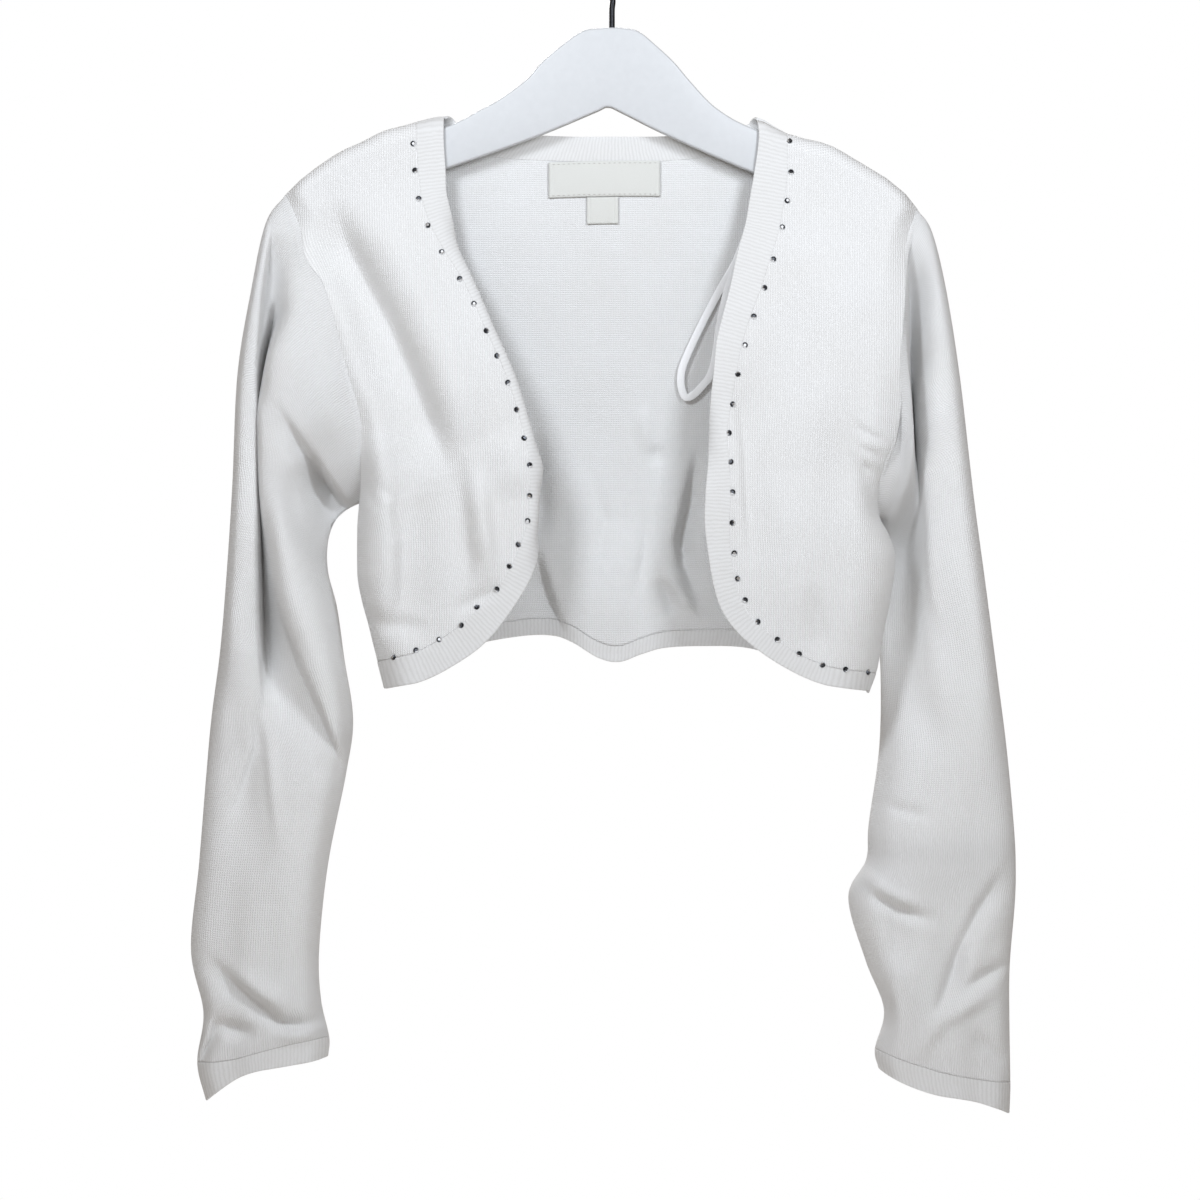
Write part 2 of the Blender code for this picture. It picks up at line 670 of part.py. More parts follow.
def sleeve(side, knit, rib):
    last = len(SLEEVE[side]) - 1 - CUFF_RINGS
    rows = sleeve_rows(side, 0, last - SLEEVE_SHORT, last * RING_STEPS)
    cloth(f"sleeve_{side}", rows, CLOTH, knit, closed=True)
    rows = sleeve_rows(side, last + CUFF_SHORT, last + CUFF_RINGS, RING_STEPS)
    cloth(f"cuff_{side}", rows, RIB, rib, closed=True)


def on_back(name, centre, size, steps, thickness, lift, fabric):
    """A flat piece laid on the inside of the back."""
    grid = []
    for j in range(steps[1] + 1):
        row = []
        for i in range(steps[0] + 1):
            x = centre[0] + size[0] * (i / steps[0] - 0.5)
            z = centre[1] + size[1] * (0.5 - j / steps[1])
            px, py, pz = back_point(x, z)
            row.append((px, py - lift, pz))
        grid.append(row)
    return cloth(name, grid, thickness, fabric)


def loop_ribbon(fabric):
    """The hanging loop, a flat ribbon that lies along the inside of the back."""
    grid = []
    for i in range(LOOP_STEPS + 1):
        s = i / LOOP_STEPS
        x, z = evenly(LOOP, s)
        x1, z1 = evenly(LOOP, max(s - LOOP_NEAR, 0))
        x2, z2 = evenly(LOOP, min(s + LOOP_NEAR, 1))
        along = unit((x2 - x1, 0, z2 - z1))
        lift = spline(LOOP_LIFT, s * (len(LOOP_LIFT) - 1))[0]
        row = []
        for m in (-0.5, 0.5):
            px, py, pz = back_point(x - along[2] * m * LOOP_WIDTH, z + along[0] * m * LOOP_WIDTH)
            row.append((px, py - lift, pz))
        grid.append(row)
    return cloth("hanging_loop", grid, SATIN, fabric)


def board(material_used):
    """The board: its outline, rounded edges, and a flat front and back."""
    line = BOARD_TOP + BOARD_LOW
    count = len(line)
    inset = []
    for i in range(count):
        before = line[i - 1]
        after = line[(i + 1) % count]
        along = unit((after[0] - before[0], 0, after[1] - before[1]))
        inset.append((line[i][0] + along[2] * BOARD_BEVEL, line[i][1] - along[0] * BOARD_BEVEL))
    rings = [(inset, -BOARD_HALF), (line, -BOARD_HALF + BOARD_BEVEL),
             (line, BOARD_HALF - BOARD_BEVEL), (inset, BOARD_HALF)]
    points = [(x, y, z) for ring, y in rings for x, z in ring]
    faces = [tuple(range(count)), tuple(range(4 * count - 1, 3 * count - 1, -1))]
    for level in range(3):
        for i in range(count):
            k = (i + 1) % count
            a, b = level * count + i, level * count + k
            faces.append((a, a + count, b + count, b))
    return solid("hanger_board", points, faces, material_used)


def hook(material_used):
    """The wire hook: a stem up from the board, bent over to one side."""
    path = [(0, z) for z in STEM] + hook_arc()
    grid = []
    for i, (x, z) in enumerate(path):
        before = path[max(i - 1, 0)]
        after = path[min(i + 1, len(path) - 1)]
        along = unit((after[0] - before[0], 0, after[1] - before[1]))
        row = []
        for k in range(WIRE_SIDES):
            turn = 2 * math.pi * k / WIRE_SIDES
            out = WIRE / 2 * math.cos(turn)
            row.append((x - along[2] * out, WIRE / 2 * math.sin(turn), z + along[0] * out))
        grid.append(row)
    points = [p for row in grid for p in row]
    last = len(points) - 1
    faces = [tuple(range(WIRE_SIDES)), tuple(range(last, last - WIRE_SIDES, -1))]
    for i in range(len(path) - 1):
        for k in range(WIRE_SIDES):
            a = i * WIRE_SIDES + k
            b = i * WIRE_SIDES + (k + 1) % WIRE_SIDES
            faces.append((a, a + WIRE_SIDES, b + WIRE_SIDES, b))
    return solid("hanger_hook", points, faces, material_used)


def hook_arc():
    """The bend of the hook: from the stem up round the left, over the top and down."""
    middle = WIRE / 2 + HOOK_RADIUS
    made = []
    for i in range(HOOK_STEPS + 1):
        angle = math.radians(HOOK_START + (HOOK_END - HOOK_START) * i / HOOK_STEPS)
        made.append((middle * math.cos(angle), middle * math.sin(angle) - HOOK_RADIUS))
    return made


def main():
    for found in list(bpy.data.objects):
        bpy.data.objects.remove(found)
    knit = material("white_knit", (0.80, 0.80, 0.81), 0.9)
    rib = material("white_rib", (0.80, 0.80, 0.80), 0.9)
    label = material("cream_label", (0.78, 0.76, 0.68), 0.7)
    satin = material("white_satin", (0.85, 0.85, 0.85), 0.35)
    painted = material("pale_board", (0.66, 0.69, 0.73), 0.4)
    wire = material("black_wire", (0.02, 0.02, 0.02), 0.35, 1.0)
    for side in ("left", "right"):
        front_panel(side, knit)
        front_band(side, rib)
        sleeve(side, knit, rib)
    back_panel(knit)
    neck_band(rib)
    hem_band(rib)
    on_back("neck_label", LABEL_CENTRE, LABEL_SIZE, LABEL_STEPS, LABEL, LABEL_LIFT, label)
    on_back("size_tab", TAB_CENTRE, TAB_SIZE, TAB_STEPS, LABEL, LABEL_LIFT, label)
    loop_ribbon(satin)
    board(painted)
    hook(wire)


main()
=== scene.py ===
"""Looks of a fine-knit bolero on a flat board hanger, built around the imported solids."""

import math
import random

import bpy
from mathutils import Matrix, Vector


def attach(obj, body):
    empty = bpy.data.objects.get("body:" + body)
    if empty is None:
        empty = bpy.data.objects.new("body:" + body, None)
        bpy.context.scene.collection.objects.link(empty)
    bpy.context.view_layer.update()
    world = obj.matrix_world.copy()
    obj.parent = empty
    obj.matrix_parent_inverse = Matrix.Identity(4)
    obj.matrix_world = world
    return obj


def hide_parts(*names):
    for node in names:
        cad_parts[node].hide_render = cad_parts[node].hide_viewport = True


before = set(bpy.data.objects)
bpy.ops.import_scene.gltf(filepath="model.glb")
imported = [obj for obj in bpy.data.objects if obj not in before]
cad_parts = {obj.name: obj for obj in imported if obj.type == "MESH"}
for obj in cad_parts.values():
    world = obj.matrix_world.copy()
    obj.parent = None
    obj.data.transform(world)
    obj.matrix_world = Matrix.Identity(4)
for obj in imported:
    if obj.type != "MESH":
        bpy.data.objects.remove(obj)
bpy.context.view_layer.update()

MM = 0.001

# Cloth sizes in millimetres
KNIT_THICK = 1.2
RIB_THICK = 1.7
CUFF_THICK = 1.4
SEAM_GAP = -0.15
WALE = 1.35
COURSE = 1.05
RIB_PITCH = 2.1
SHOULDER_ROUND = 8.0
SHOULDER_GAP = 0.35
HEM_BAND = 9.0

# Close marks beside the ends of an even run, in parts of one step
CLOSE_MARKS = (0.08, 0.25, 0.55)
# Rows of a panel where it rounds over the board, as shares from its top
TOP_ROWS = (0, 0.003, 0.006, 0.009, 0.012, 0.016, 0.02, 0.024, 0.028)
# Share left free at each side of the fronts, and of the back
FRONT_IN = 0.0012
BACK_IN = 0.0008
# A front stands this far off its hem band, from this share of its height down
LOW_GAP = 0.12
LOW_SHARE = 0.9

# A fold fades in over this length, or this share of its path, from a part of its depth
FOLD_FADE = 34.0
FOLD_FADE_SHARE = 0.4
FOLD_LEFT = 0.2

# Shoulder line over the board, neck edge to armhole: x, z
SHOULDER = {
    "left": [(-84, -100), (-92, -110.9), (-98, -112.2), (-105, -113.8), (-117, -117),
             (-128, -120), (-140, -126), (-151, -131), (-162, -138), (-174, -147),
             (-183, -156)],
    "right": [(73, -100), (80, -111.2), (85, -114), (90, -117.2), (97, -121), (107, -124),
              (122, -128), (138, -137), (153, -146), (164, -155), (171, -164)],
}

# Armhole seam and side seam: z, x, depth of the front edge, depth of the back edge,
# width of the turn at the side, share of that turn
OUTLINE = {
    "left": [
        (-156, -183, -0.6, 0.6, 12, 0), (-164, -178, -5, 5, 12, 0),
        (-174, -174, -8, 8, 12, 0), (-192, -171, -12, 12, 12, 0),
        (-204, -162, -15, 14, 14, 0), (-224, -155, -18, 17, 16, 0),
        (-253, -148, -20, 19, 16, 0), (-281, -140, -19, 20, 16, 0),
        (-300, -140, -16, 18, 16, 0), (-315, -140, -9, 12, 16, 0.3),
        (-327, -141, 0, 3, 16, 0.8), (-340, -142, 1, 1.2, 18, 1),
        (-368, -142, 1, 1.2, 20, 1), (-380, -140, 1, 1.2, 20, 1),
        (-395, -136, 1, 1.2, 20, 1), (-411, -132, 1, 1.2, 20, 1),
        (-431, -127, 1, 1.2, 18, 1),
    ],
    "right": [
        (-164, 171, -0.6, 0.6, 12, 0), (-172, 167, -5, 5, 12, 0),
        (-184, 164, -9, 9, 12, 0), (-214, 163, -15, 14, 14, 0),
        (-242, 161, -18, 17, 16, 0), (-270, 160, -18, 19, 16, 0),
        (-292, 157, -18, 18, 16, 0), (-308, 151, -16, 14, 16, 0.1),
        (-320, 148, -12, 8, 16, 0.4), (-335, 149, -5, 1, 16, 0.8),
        (-347, 155, -2, -1.8, 22, 1), (-358, 158, -3, -2.8, 26, 1),
        (-380, 155.5, -3, -2.8, 26, 1), (-402, 151, -3, -2.8, 26, 1),
        (-420, 148, -3, -2.8, 26, 1), (-434, 143, -3, -2.8, 24, 1),
    ],
}

# Seam between front panel and rib band, neck to side seam: x, z, turn under in degrees,
# width of the band
BAND_SEAM = {
    "left": [
        (-109, -114.7, 0, 15), (-109, -127, 0, 15), (-108, -142, 0, 15),
        (-106, -158, 10, 14), (-101, -173, 50, 14), (-93, -188, 110, 14),
        (-84, -202, 165, 14), (-77, -216, 190, 14), (-70, -232, 200, 14),
        (-63, -247, 200, 14), (-57, -262, 200, 14), (-52, -278, 200, 14),
        (-48, -293, 190, 14), (-46, -308, 120, 14), (-46, -324, 165, 14),
        (-47, -338, 150, 14), (-51, -351, 80, 14), (-56, -363, 30, 13),
        (-63, -375, 5, 13), (-73, -386, 0, 15), (-83, -395.5, 0, 16),
        (-95, -404, 0, 16), (-108, -411, 0, 16), (-121, -415.5, 0, 15.5),
        (-130.5, -417, 0, 15),
    ],
    "right": [
        (97, -121, 0, 16), (98, -128, 0, 16), (98, -143, 0, 18), (96, -159, 0, 19),
        (93, -176, 0, 19), (88, -192, 0, 18.5), (83, -208, 0, 17), (77, -224, 0, 15),
        (72, -240, 0, 14), (69, -256, 0, 12.5), (66, -273, 25, 11.5),
        (64, -289, 60, 11.5), (65, -305, 30, 12), (66, -322, 0, 14), (65, -339, 0, 13.5),
        (66, -356, 0, 12.5), (68, -371, 0, 12), (72, -383, 0, 12), (79, -394, 0, 11),
        (91, -404, 0, 10.5), (103, -412, 0, 10), (116, -418, 0, 10), (129, -421.5, 0, 10),
        (142, -423, 0, 10), (147.5, -423, 0, 10),
    ],
}

# Back neck edge, neck seam and back hem edge: x, z
BACK_NECK = [(-94, -111.4), (-90, -113), (-84, -115), (-74, -117.5), (-60, -119.5),
             (-45, -121), (-22, -122), (0, -122), (22, -122), (36, -121.3), (52, -119.8),
             (66, -117.5), (76, -115.2), (81.5, -112)]
NECK_SEAM = [(-109, -114.7), (-104, -121), (-95, -127), (-80, -131.5), (-62, -134),
             (-45, -135.2), (-22, -136), (0, -136), (22, -136), (36, -135.2), (54, -133.5),
             (70, -130.5), (84, -127), (93, -124), (97, -121)]
BACK_HEM = [(-127, -431), (-105, -419), (-80, -408), (-52, -402.5), (-34, -402),
            (-22, -406), (-8, -414.5), (4, -417), (17, -412.5), (30, -409), (52, -408),
            (76, -409), (100, -416), (125, -426), (143, -434)]

# Depth of the fronts and of the back down the garment: z, front, back
DEPTH = [(-112, -8.6, 8.6), (-150, -9.5, 9.5), (-190, -15, 13), (-240, -21, 19),
         (-300, -25, 25), (-360, -27, 29), (-434, -26, 30)]

# Folds: width to the left of the path, width to its right, depth (positive sinks into the
# garment), and the path downwards as x, z
FOLDS_FRONT = [
    (20, 8, 11.5, [(-158, -160), (-149, -184), (-138, -205), (-125, -229), (-112, -258),
                (-101, -286), (-92, -312)]),
    (13, 16, -6, [(-140, -160), (-122, -185), (-106, -215), (-90, -256), (-78, -296)]),
    (9, 9, -5, [(-158, -205), (-150, -245), (-138, -285), (-126, -318), (-118, -345)]),
    (5, 22, 7, [(-136, -310), (-120, -326), (-116, -350), (-117, -382), (-120, -410)]),
    (8, 5, -5, [(-76, -306), (-73, -330), (-70, -352), (-67, -372)]),
    (10, 5, 3.5, [(-86, -300), (-83, -330), (-80, -360), (-82, -384)]),
    (14, 10, -4, [(-62, -286), (-54, -304), (-52, -326)]),
    (6, 5, 3, [(-142, -388), (-122, -396), (-100, -398)]),
    (4, 5, 2.5, [(-90, -390), (-76, -382), (-60, -374)]),
    (2.2, 3.5, 2.4, [(-146, -312), (-134, -322), (-126, -334)]),
    (2, 2.5, 1.6, [(-140, -268), (-137, -288), (-140, -306)]),
    (22, 20, -3, [(132, -180), (120, -240), (112, -310)]),
    (22, 18, 2.6, [(62, -300), (84, -268), (104, -240), (122, -210)]),
    (10, 10, 2.2, [(116, -270), (124, -300), (132, -340)]),
    (2, 2.5, 2.2, [(134, -284), (145, -291), (157, -296)]),
    (2, 2.5, 2.0, [(136, -296), (146, -301), (156, -305)]),
    (2, 2.5, 2.0, [(138, -306), (146, -311), (152, -314)]),
    (5, 6, 4, [(135, -298), (143, -318), (149, -345)]),
    (6, 6, 2.5, [(110, -372), (114, -395), (118, -418)]),
    (3, 12, 3, [(70, -262), (74, -300), (75, -330), (78, -366)]),
    (18, 18, -3, [(96, -310), (102, -355), (110, -405)]),
]
FOLDS_BACK = [
    (26, 22, 5, [(0, -335), (-4, -412)]),
    (16, 2.5, -7, [(-44, -352), (-37, -376), (-32, -390), (-27, -400)]),
    (8, 6, -5, [(-44, -285), (-40, -330), (-42, -350)]),
    (2.5, 8, -10, [(48, -300), (42, -330), (38, -348), (40, -362), (48, -380)]),
    (5, 3, -5, [(28, -368), (32, -380), (36, -392)]),
    (3, 3, 4, [(31, -364), (38, -376), (47, -392)]),
    (3, 4, -1.5, [(-10, -312), (-4.5, -336), (-7, -358), (-16, -380)]),
    (3, 4, -1.5, [(20, -330), (18, -358), (13, -380)]),
    (5, 5, -2, [(25, -294), (27, -307)]),
    (4, 4, 2, [(17, -272), (20, -300)]),
]

# Sleeve rings, armhole to cuff edge. Each row holds, for the inner, inner front, crest,
# lip, trough, edge, strip and outer lines, x, z and depth, then the depth of the back.
SLEEVE = {
    "left": [
        ((-141, -327, 1), (-140, -298, -16), (-148, -253, -20), (-158, -215, -16),
         (-167, -199, -13), (-173, -180, -10), (-178, -164, -5), (-183, -156, 0), 19),
        ((-149, -331, 4), (-151, -304, -17), (-160, -262, -24), (-174, -226, -20),
         (-182, -212, -14), (-187, -200, -12), (-190, -186, -9), (-193, -171, 2), 22),
        ((-156, -338, 6), (-161, -316, -13), (-173, -277, -25), (-188, -243, -21),
         (-192, -236, 4), (-195.5, -231, -14), (-199, -222, -14), (-201, -208, 1), 26),
        ((-160, -350, 8), (-168, -332, -9), (-183, -302, -22), (-197, -280, -18),
         (-197, -277, -3), (-199, -273, -14.5), (-204, -264, -14.5), (-209, -256, 2), 29),
        ((-160, -366, 10), (-170, -354, -8), (-185, -332, -20), (-196, -320, -15),
         (-197, -319, -2), (-199, -319, -13.5), (-205.5, -318, -13.5), (-212, -318, 3), 30),
        ((-155, -386, 12), (-164, -383, -11), (-177, -378, -20), (-187, -376, -14),
         (-196, -375, 4), (-198.5, -375, -12.5), (-206.5, -372, -13), (-215.5, -370, 4), 31),
        ((-151, -414, 12), (-157, -415, -12), (-166, -414, -19), (-177, -413, -13),
         (-194, -412, 4), (-198, -412, -10.5), (-208, -412, -11.5), (-219, -410, 5), 31),
        ((-146, -449, 12), (-151, -450, -9), (-158, -450, -15), (-169, -450, -11),
         (-184, -449, -4), (-199, -448, -8), (-211, -448, -9), (-224, -448, 7), 31),
        ((-150, -480, 12), (-157, -481, -7), (-167, -481, -13), (-179, -481, -13),
         (-192, -481, -11), (-204, -481, -9), (-214, -481, -5), (-227, -481, 7), 30),
        ((-160, -530, 12), (-167, -531, -7), (-177, -532, -12), (-188, -532, -13),
         (-199, -532, -12), (-210, -532, -9), (-219, -532, -5), (-231, -530, 7), 29),
        ((-165, -578, 12), (-171, -580, -5), (-181, -582, -11), (-192, -583, -12),
         (-203, -583, -12), (-214, -583, -8), (-223, -583, -4), (-235.5, -578, 7), 28),
        ((-164, -606, 12), (-170, -608, -6), (-180, -611, -11), (-191, -612, -12),
         (-202, -613, -10), (-211, -614, -7), (-219, -614, -4), (-228.5, -613, 7), 28),
        ((-159.5, -627, 12), (-167, -628, -5), (-178, -630, -9), (-190, -633, -10),
         (-201, -636, -9), (-211, -639, -6), (-220, -641, -3), (-232, -641, 8), 27),
        ((-160, -638, 12), (-167, -640, -5), (-178, -642, -9), (-190, -644, -10),
         (-200, -646, -9), (-210, -650, -6), (-218, -655, -3), (-227, -662.5, 8), 27),
    ],
    "right": [
        ((149, -335, 0), (149, -318, -9), (160, -270, -18), (161.5, -240, -16),
         (163, -214, -14), (165, -190, -10), (168, -174, -6), (171, -164, 0), 18),
        ((151, -337, 5), (157, -322, -9), (166, -280, -18), (164, -242, -16),
         (166, -224, -9), (171, -208, -10), (175.5, -194, -9), (178.5, -176, 2), 22),
        ((150, -343, 13), (159, -333, -2), (168, -300, -14), (165, -268, -15),
         (168, -254, 4), (174.5, -241, -9), (180.5, -226, -11), (186.5, -208, 2), 28),
        ((150, -354, 21), (160, -344, 10), (168.5, -320, -4), (168, -300, -9),
         (170, -287, 8), (173.5, -277, -8), (185, -265, -10.5), (194.5, -258, 4), 34),
        ((150, -369, 25), (160, -362, 18), (168, -351, 15), (171.5, -343, 10),
         (174.5, -337, 3), (179, -332, -6), (190.5, -327, -10), (202, -322, 5), 38),
        ((150, -391, 26), (160, -389, 18), (168, -386, 14), (172.5, -384, 8),
         (176.5, -382, 1), (183, -380, -6.5), (196, -377, -9), (209, -374, 6), 39),
        ((152, -426, 25), (160, -427, 16), (168, -428, 9), (174.5, -428, 2),
         (184, -428, -6), (197, -428, -7), (206, -427, -5), (215.5, -424, 8), 38),
        ((151, -466, 22), (159, -467, 4), (169, -469, -5), (180, -470, -8),
         (191, -470, -9), (202, -470, -6), (211, -469, -1), (221, -466, 11), 37),
        ((145, -508, 18), (153, -509, 1), (164, -511, -7), (176, -511, -10),
         (189, -511, -9), (202, -511, -6), (213, -510, -1), (225, -509, 11), 36),
        ((143.5, -528, 17), (152, -529, 0), (163, -530, -8), (176, -531, -10),
         (189, -531, -9), (202, -531, -6), (213, -530, -1), (226, -530, 10), 36),
        ((133.5, -549, 16), (143, -550, -2), (157, -551, -8), (172, -552, -10),
         (187, -552, -8), (201, -552, -6), (213, -551, -1), (225.5, -551, 10), 36),
        ((143, -584, 16), (151, -585, -2), (163, -587, -8), (176, -588, -9),
         (189, -588, -6), (202, -588, -6), (212, -587, -2), (222.5, -588, 10), 34),
        ((153.5, -612, 16), (160, -614, -2), (170, -617, -7), (181, -620, -9),
         (192, -621, -9), (203, -622, -6), (212, -622, -2), (222.5, -622, 10), 33),
        ((148.5, -634, 16), (156, -637, -1), (167, -641, -6), (180, -645, -8),
         (192, -648, -8), (203, -650, -5), (212, -652, -1), (223, -652, 11), 32),
        ((150.5, -645, 16), (158, -650, -1), (169, -655, -6), (182, -659, -8),
         (194, -661, -8), (204, -663, -5), (212, -665, -1), (222.5, -670, 12), 32),
    ],
}
FRONT_LINES = 7

# Sleeve folds on the front of the arm, in the same terms as the folds of the body
FOLDS_SLEEVE = {
    "left": [
        (1.2, 9.5, 15, [(-190, -176), (-192.5, -196), (-194.5, -214), (-196, -232),
                      (-197, -246)]),
        (1, 4.5, 11, [(-196, -228), (-197.5, -250), (-198, -276)]),
        (0.8, 1.6, 6, [(-197.6, -262), (-198, -300), (-198, -346)]),
        (1, 8.5, 13, [(-198, -330), (-198, -360), (-197.6, -385), (-196.8, -410), (-195, -440)]),
        (9, 3, 8, [(-186, -276), (-176, -292), (-168, -306), (-159, -320), (-150, -332),
                   (-144, -338)]),
        (16, 3, 15, [(-168, -300), (-160, -318), (-150, -331), (-140, -342)]),
        (6, 8, -3.5, [(-184, -284), (-177, -302), (-172, -325), (-168, -352)]),
        (14, 12, -3, [(-160, -240), (-158, -275), (-156, -300)]),
        (2.5, 8, 4, [(-199, -436), (-199, -465), (-205, -482), (-213, -505)]),
        (15, 2.5, 9, [(-193, -366), (-184, -398), (-175, -421), (-165, -443), (-156, -464),
                      (-150, -486)]),
        (3, 4, -2.5, [(-195, -440), (-190, -480), (-186, -520)]),
        (14, 10, 3, [(-222, -400), (-216, -440), (-206, -480), (-196, -540)]),
        (20, 14, -3, [(-178, -500), (-176, -550), (-178, -590)]),
        (7, 3.5, 6, [(-226, -582), (-212, -596), (-199, -606), (-188, -616), (-180, -622)]),
        (3, 5, 5, [(-196, -612), (-186, -619), (-172, -620), (-158, -616)]),
        (4, 6, -4, [(-214, -588), (-196, -602), (-178, -610)]),
        (5, 5, 6, [(-224, -618), (-212, -622), (-198, -624)]),
        (4, 4, -3.5, [(-190, -627), (-175, -625), (-162, -620)]),
        (2, 4, 5, [(-221, -614), (-224, -628), (-233, -645)]),
    ],
    "right": [
        (1, 8.5, 14, [(164.5, -182), (166, -204), (166.6, -226), (167.4, -250),
                      (168.6, -276)]),
        (1, 6.5, 12, [(168, -258), (169.6, -286), (170, -314)]),
        (8, 8, 8, [(168, -322), (165, -350), (163, -385), (160, -420)]),
        (10, 3, 4, [(158, -262), (160, -290), (161, -315)]),
        (4, 8, 5, [(222, -530), (206, -555), (194, -580), (186, -602), (180, -622)]),
        (5, 8, -4, [(216, -546), (201, -575), (194, -606)]),
        (5, 5, -4, [(220, -594), (202, -607), (183, -617), (168, -640)]),
        (4, 4, -4, [(138, -532), (153, -545), (176, -556)]),
        (4, 5, 5, [(142, -545), (160, -555), (182, -562)]),
        (5, 9, 4, [(156, -552), (160, -572), (160, -592)]),
        (3, 4, 3.5, [(223, -584), (206, -593), (196, -600)]),
        (5, 10, -3, [(158, -570), (160, -605), (162, -642)]),
        (5, 5, 3.5, [(200, -624), (212, -634), (222, -646)]),
        (3, 4, 2.5, [(150, -496), (162, -500), (178, -503)]),
        (16, 14, 3, [(176, -430), (182, -480), (178, -520)]),
        (12, 10, -3, [(200, -350), (206, -420), (208, -500)]),
    ],
}

# Stones on the fronts, beside the band seam: x, z
STONES = {
    "left": [(-111, -127), (-110, -142), (-108, -158), (-103, -173), (-95, -188),
             (-85, -203), (-77, -217), (-70, -232), (-64, -246), (-58, -261), (-53, -276),
             (-49, -292), (-46, -307), (-46, -324), (-47, -338), (-52, -351), (-57, -363),
             (-64, -376), (-75, -386), (-84, -396), (-96, -404), (-109, -410),
             (-118.1, -413.6)],
    "right": [(99, -127), (100, -143), (98, -159), (95, -174), (90, -192), (85, -208),
              (79, -224), (74, -240), (70, -256), (67, -273), (65, -289), (66, -305),
              (67, -322), (67, -339), (68, -356), (70, -370), (74, -382), (81, -394),
              (92, -404), (104, -412), (117, -418), (127, -420.6), (136.8, -422)],
}


def blend(a, b, t):
    return tuple(p + (q - p) * t for p, q in zip(a, b))


def spline(points, t):
    """The point at position t, counted in points, of a smooth line through them."""
    last = len(points) - 1
    i = min(max(int(math.floor(t)), 0), last - 1)
    f = min(max(t - i, 0.0), 1.0)
    b = points[i]
    c = points[i + 1]
    a = points[i - 1] if i > 0 else blend(b, c, -1)
    d = points[i + 2] if i + 2 <= last else blend(c, b, -1)
    h = f * f
    g = h * f
    made = []
    for k in range(len(b)):
        rise = (c[k] - a[k]) / 2
        fall = (d[k] - b[k]) / 2
        made.append(b[k] * (2 * g - 3 * h + 1) + rise * (g - 2 * h + f)
                    + c[k] * (3 * h - 2 * g) + fall * (g - h))
    return tuple(made)


class Line:
    """A smooth line through given points, read by share of its length."""

    def __init__(self, points):
        steps = 12 * (len(points) - 1)
        self.dense = [spline(points, i / 12) for i in range(steps + 1)]
        self.marks = [0.0]
        for p, q in zip(self.dense, self.dense[1:]):
            self.marks.append(self.marks[-1] + math.hypot(q[0] - p[0], q[1] - p[1]))
        self.length = self.marks[-1]

    def at(self, share):
        want = min(max(share, 0.0), 1.0) * self.length
        low, high = 0, len(self.marks) - 1
        while high - low > 1:
            middle = (low + high) // 2
            if self.marks[middle] <= want:
                low = middle
            else:
                high = middle
        f = (want - self.marks[low]) / max(self.marks[high] - self.marks[low], 1e-9)
        return blend(self.dense[low], self.dense[high], f)


def row_at(table, value):
    """The row of a table at a value of its first column, smooth between its rows."""
    sign = -1 if table[0][0] > table[-1][0] else 1
    want = sign * value
    if want <= sign * table[0][0]:
        return table[0]
    if want >= sign * table[-1][0]:
        return table[-1]
    for i in range(len(table) - 1):
        if want <= sign * table[i + 1][0]:
            f = (value - table[i][0]) / (table[i + 1][0] - table[i][0])
            return spline(table, i + f)
    return table[-1]


def fold_sum(x, z, folds):
    """How deep the folds press the cloth in at a place. A fold fades in and out along its
    path, and a little of it is left at its ends."""
    total = 0.0
    for wide_left, wide_right, depth, path in folds:
        nearest = 1e9
        wide = wide_left
        gone = 0.0
        whole = 0.0
        for (x1, z1), (x2, z2) in zip(path, path[1:]):
            run = math.hypot(x2 - x1, z2 - z1)
            t = ((x - x1) * (x2 - x1) + (z - z1) * (z2 - z1)) / (run * run)
            t = min(max(t, 0.0), 1.0)
            away = math.hypot(x - x1 - t * (x2 - x1), z - z1 - t * (z2 - z1))
            if away < nearest:
                nearest = away
                across = (x - x1) * (z1 - z2) - (z - z1) * (x1 - x2)
                side = across / max(away * run, 1e-9)
                wide = wide_left + (wide_right - wide_left) * (0.5 + 0.5 * min(max(side, -1), 1))
                gone = whole + t * run
            whole += run
        share = nearest / wide
        if share < 3:
            left = min(gone, whole - gone) / min(FOLD_FADE, FOLD_FADE_SHARE * whole)
            left = min(FOLD_LEFT + (1 - FOLD_LEFT) * left, 1.0)
            total += depth * left * left * (3 - 2 * left) * math.exp(-share * share)
    return total


def top_at(side, x):
    """Height of the shoulder line above x."""
    line = SHOULDER[side]
    if side == "left":
        line = line[::-1]
    return row_at(line, x)[1]


def body_point(side, face, x, z):
    """The body's cloth at a place of its flat outline: rounded over the board at the
    shoulder and round the side at the side seam. Face is -1 for a front, 1 for the back."""
    _, edge_x, edge_front, edge_back, turn, share = row_at(OUTLINE[side], z)
    depth_row = row_at(DEPTH, z)
    if face < 0:
        field = depth_row[1] + fold_sum(x, z, FOLDS_FRONT)
        edge = edge_front
    else:
        field = depth_row[2] - fold_sum(x, z, FOLDS_BACK)
        edge = edge_back
    inward = 1 if side == "left" else -1
    in_by = max((x - edge_x) * inward, 0.0)
    angle = min(in_by / turn, 1.0) * math.pi / 2
    y = edge + (field - edge) * math.sin(angle)
    if in_by < turn:
        turned = edge_x + inward * turn * (1 - math.cos(angle))
        x = x + (turned - x) * share
    top = top_at(side, x)
    below = max(top - z, 0.0)
    if below < SHOULDER_ROUND:
        lean = below / SHOULDER_ROUND * math.pi / 2
        y = face * SHOULDER_GAP + (y - face * SHOULDER_GAP) * math.sin(lean)
        z = top - SHOULDER_ROUND * (1 - math.cos(lean))
    return x, y, z


def unit(v):
    size = math.sqrt(sum(c * c for c in v)) or 1.0
    return tuple(c / size for c in v)


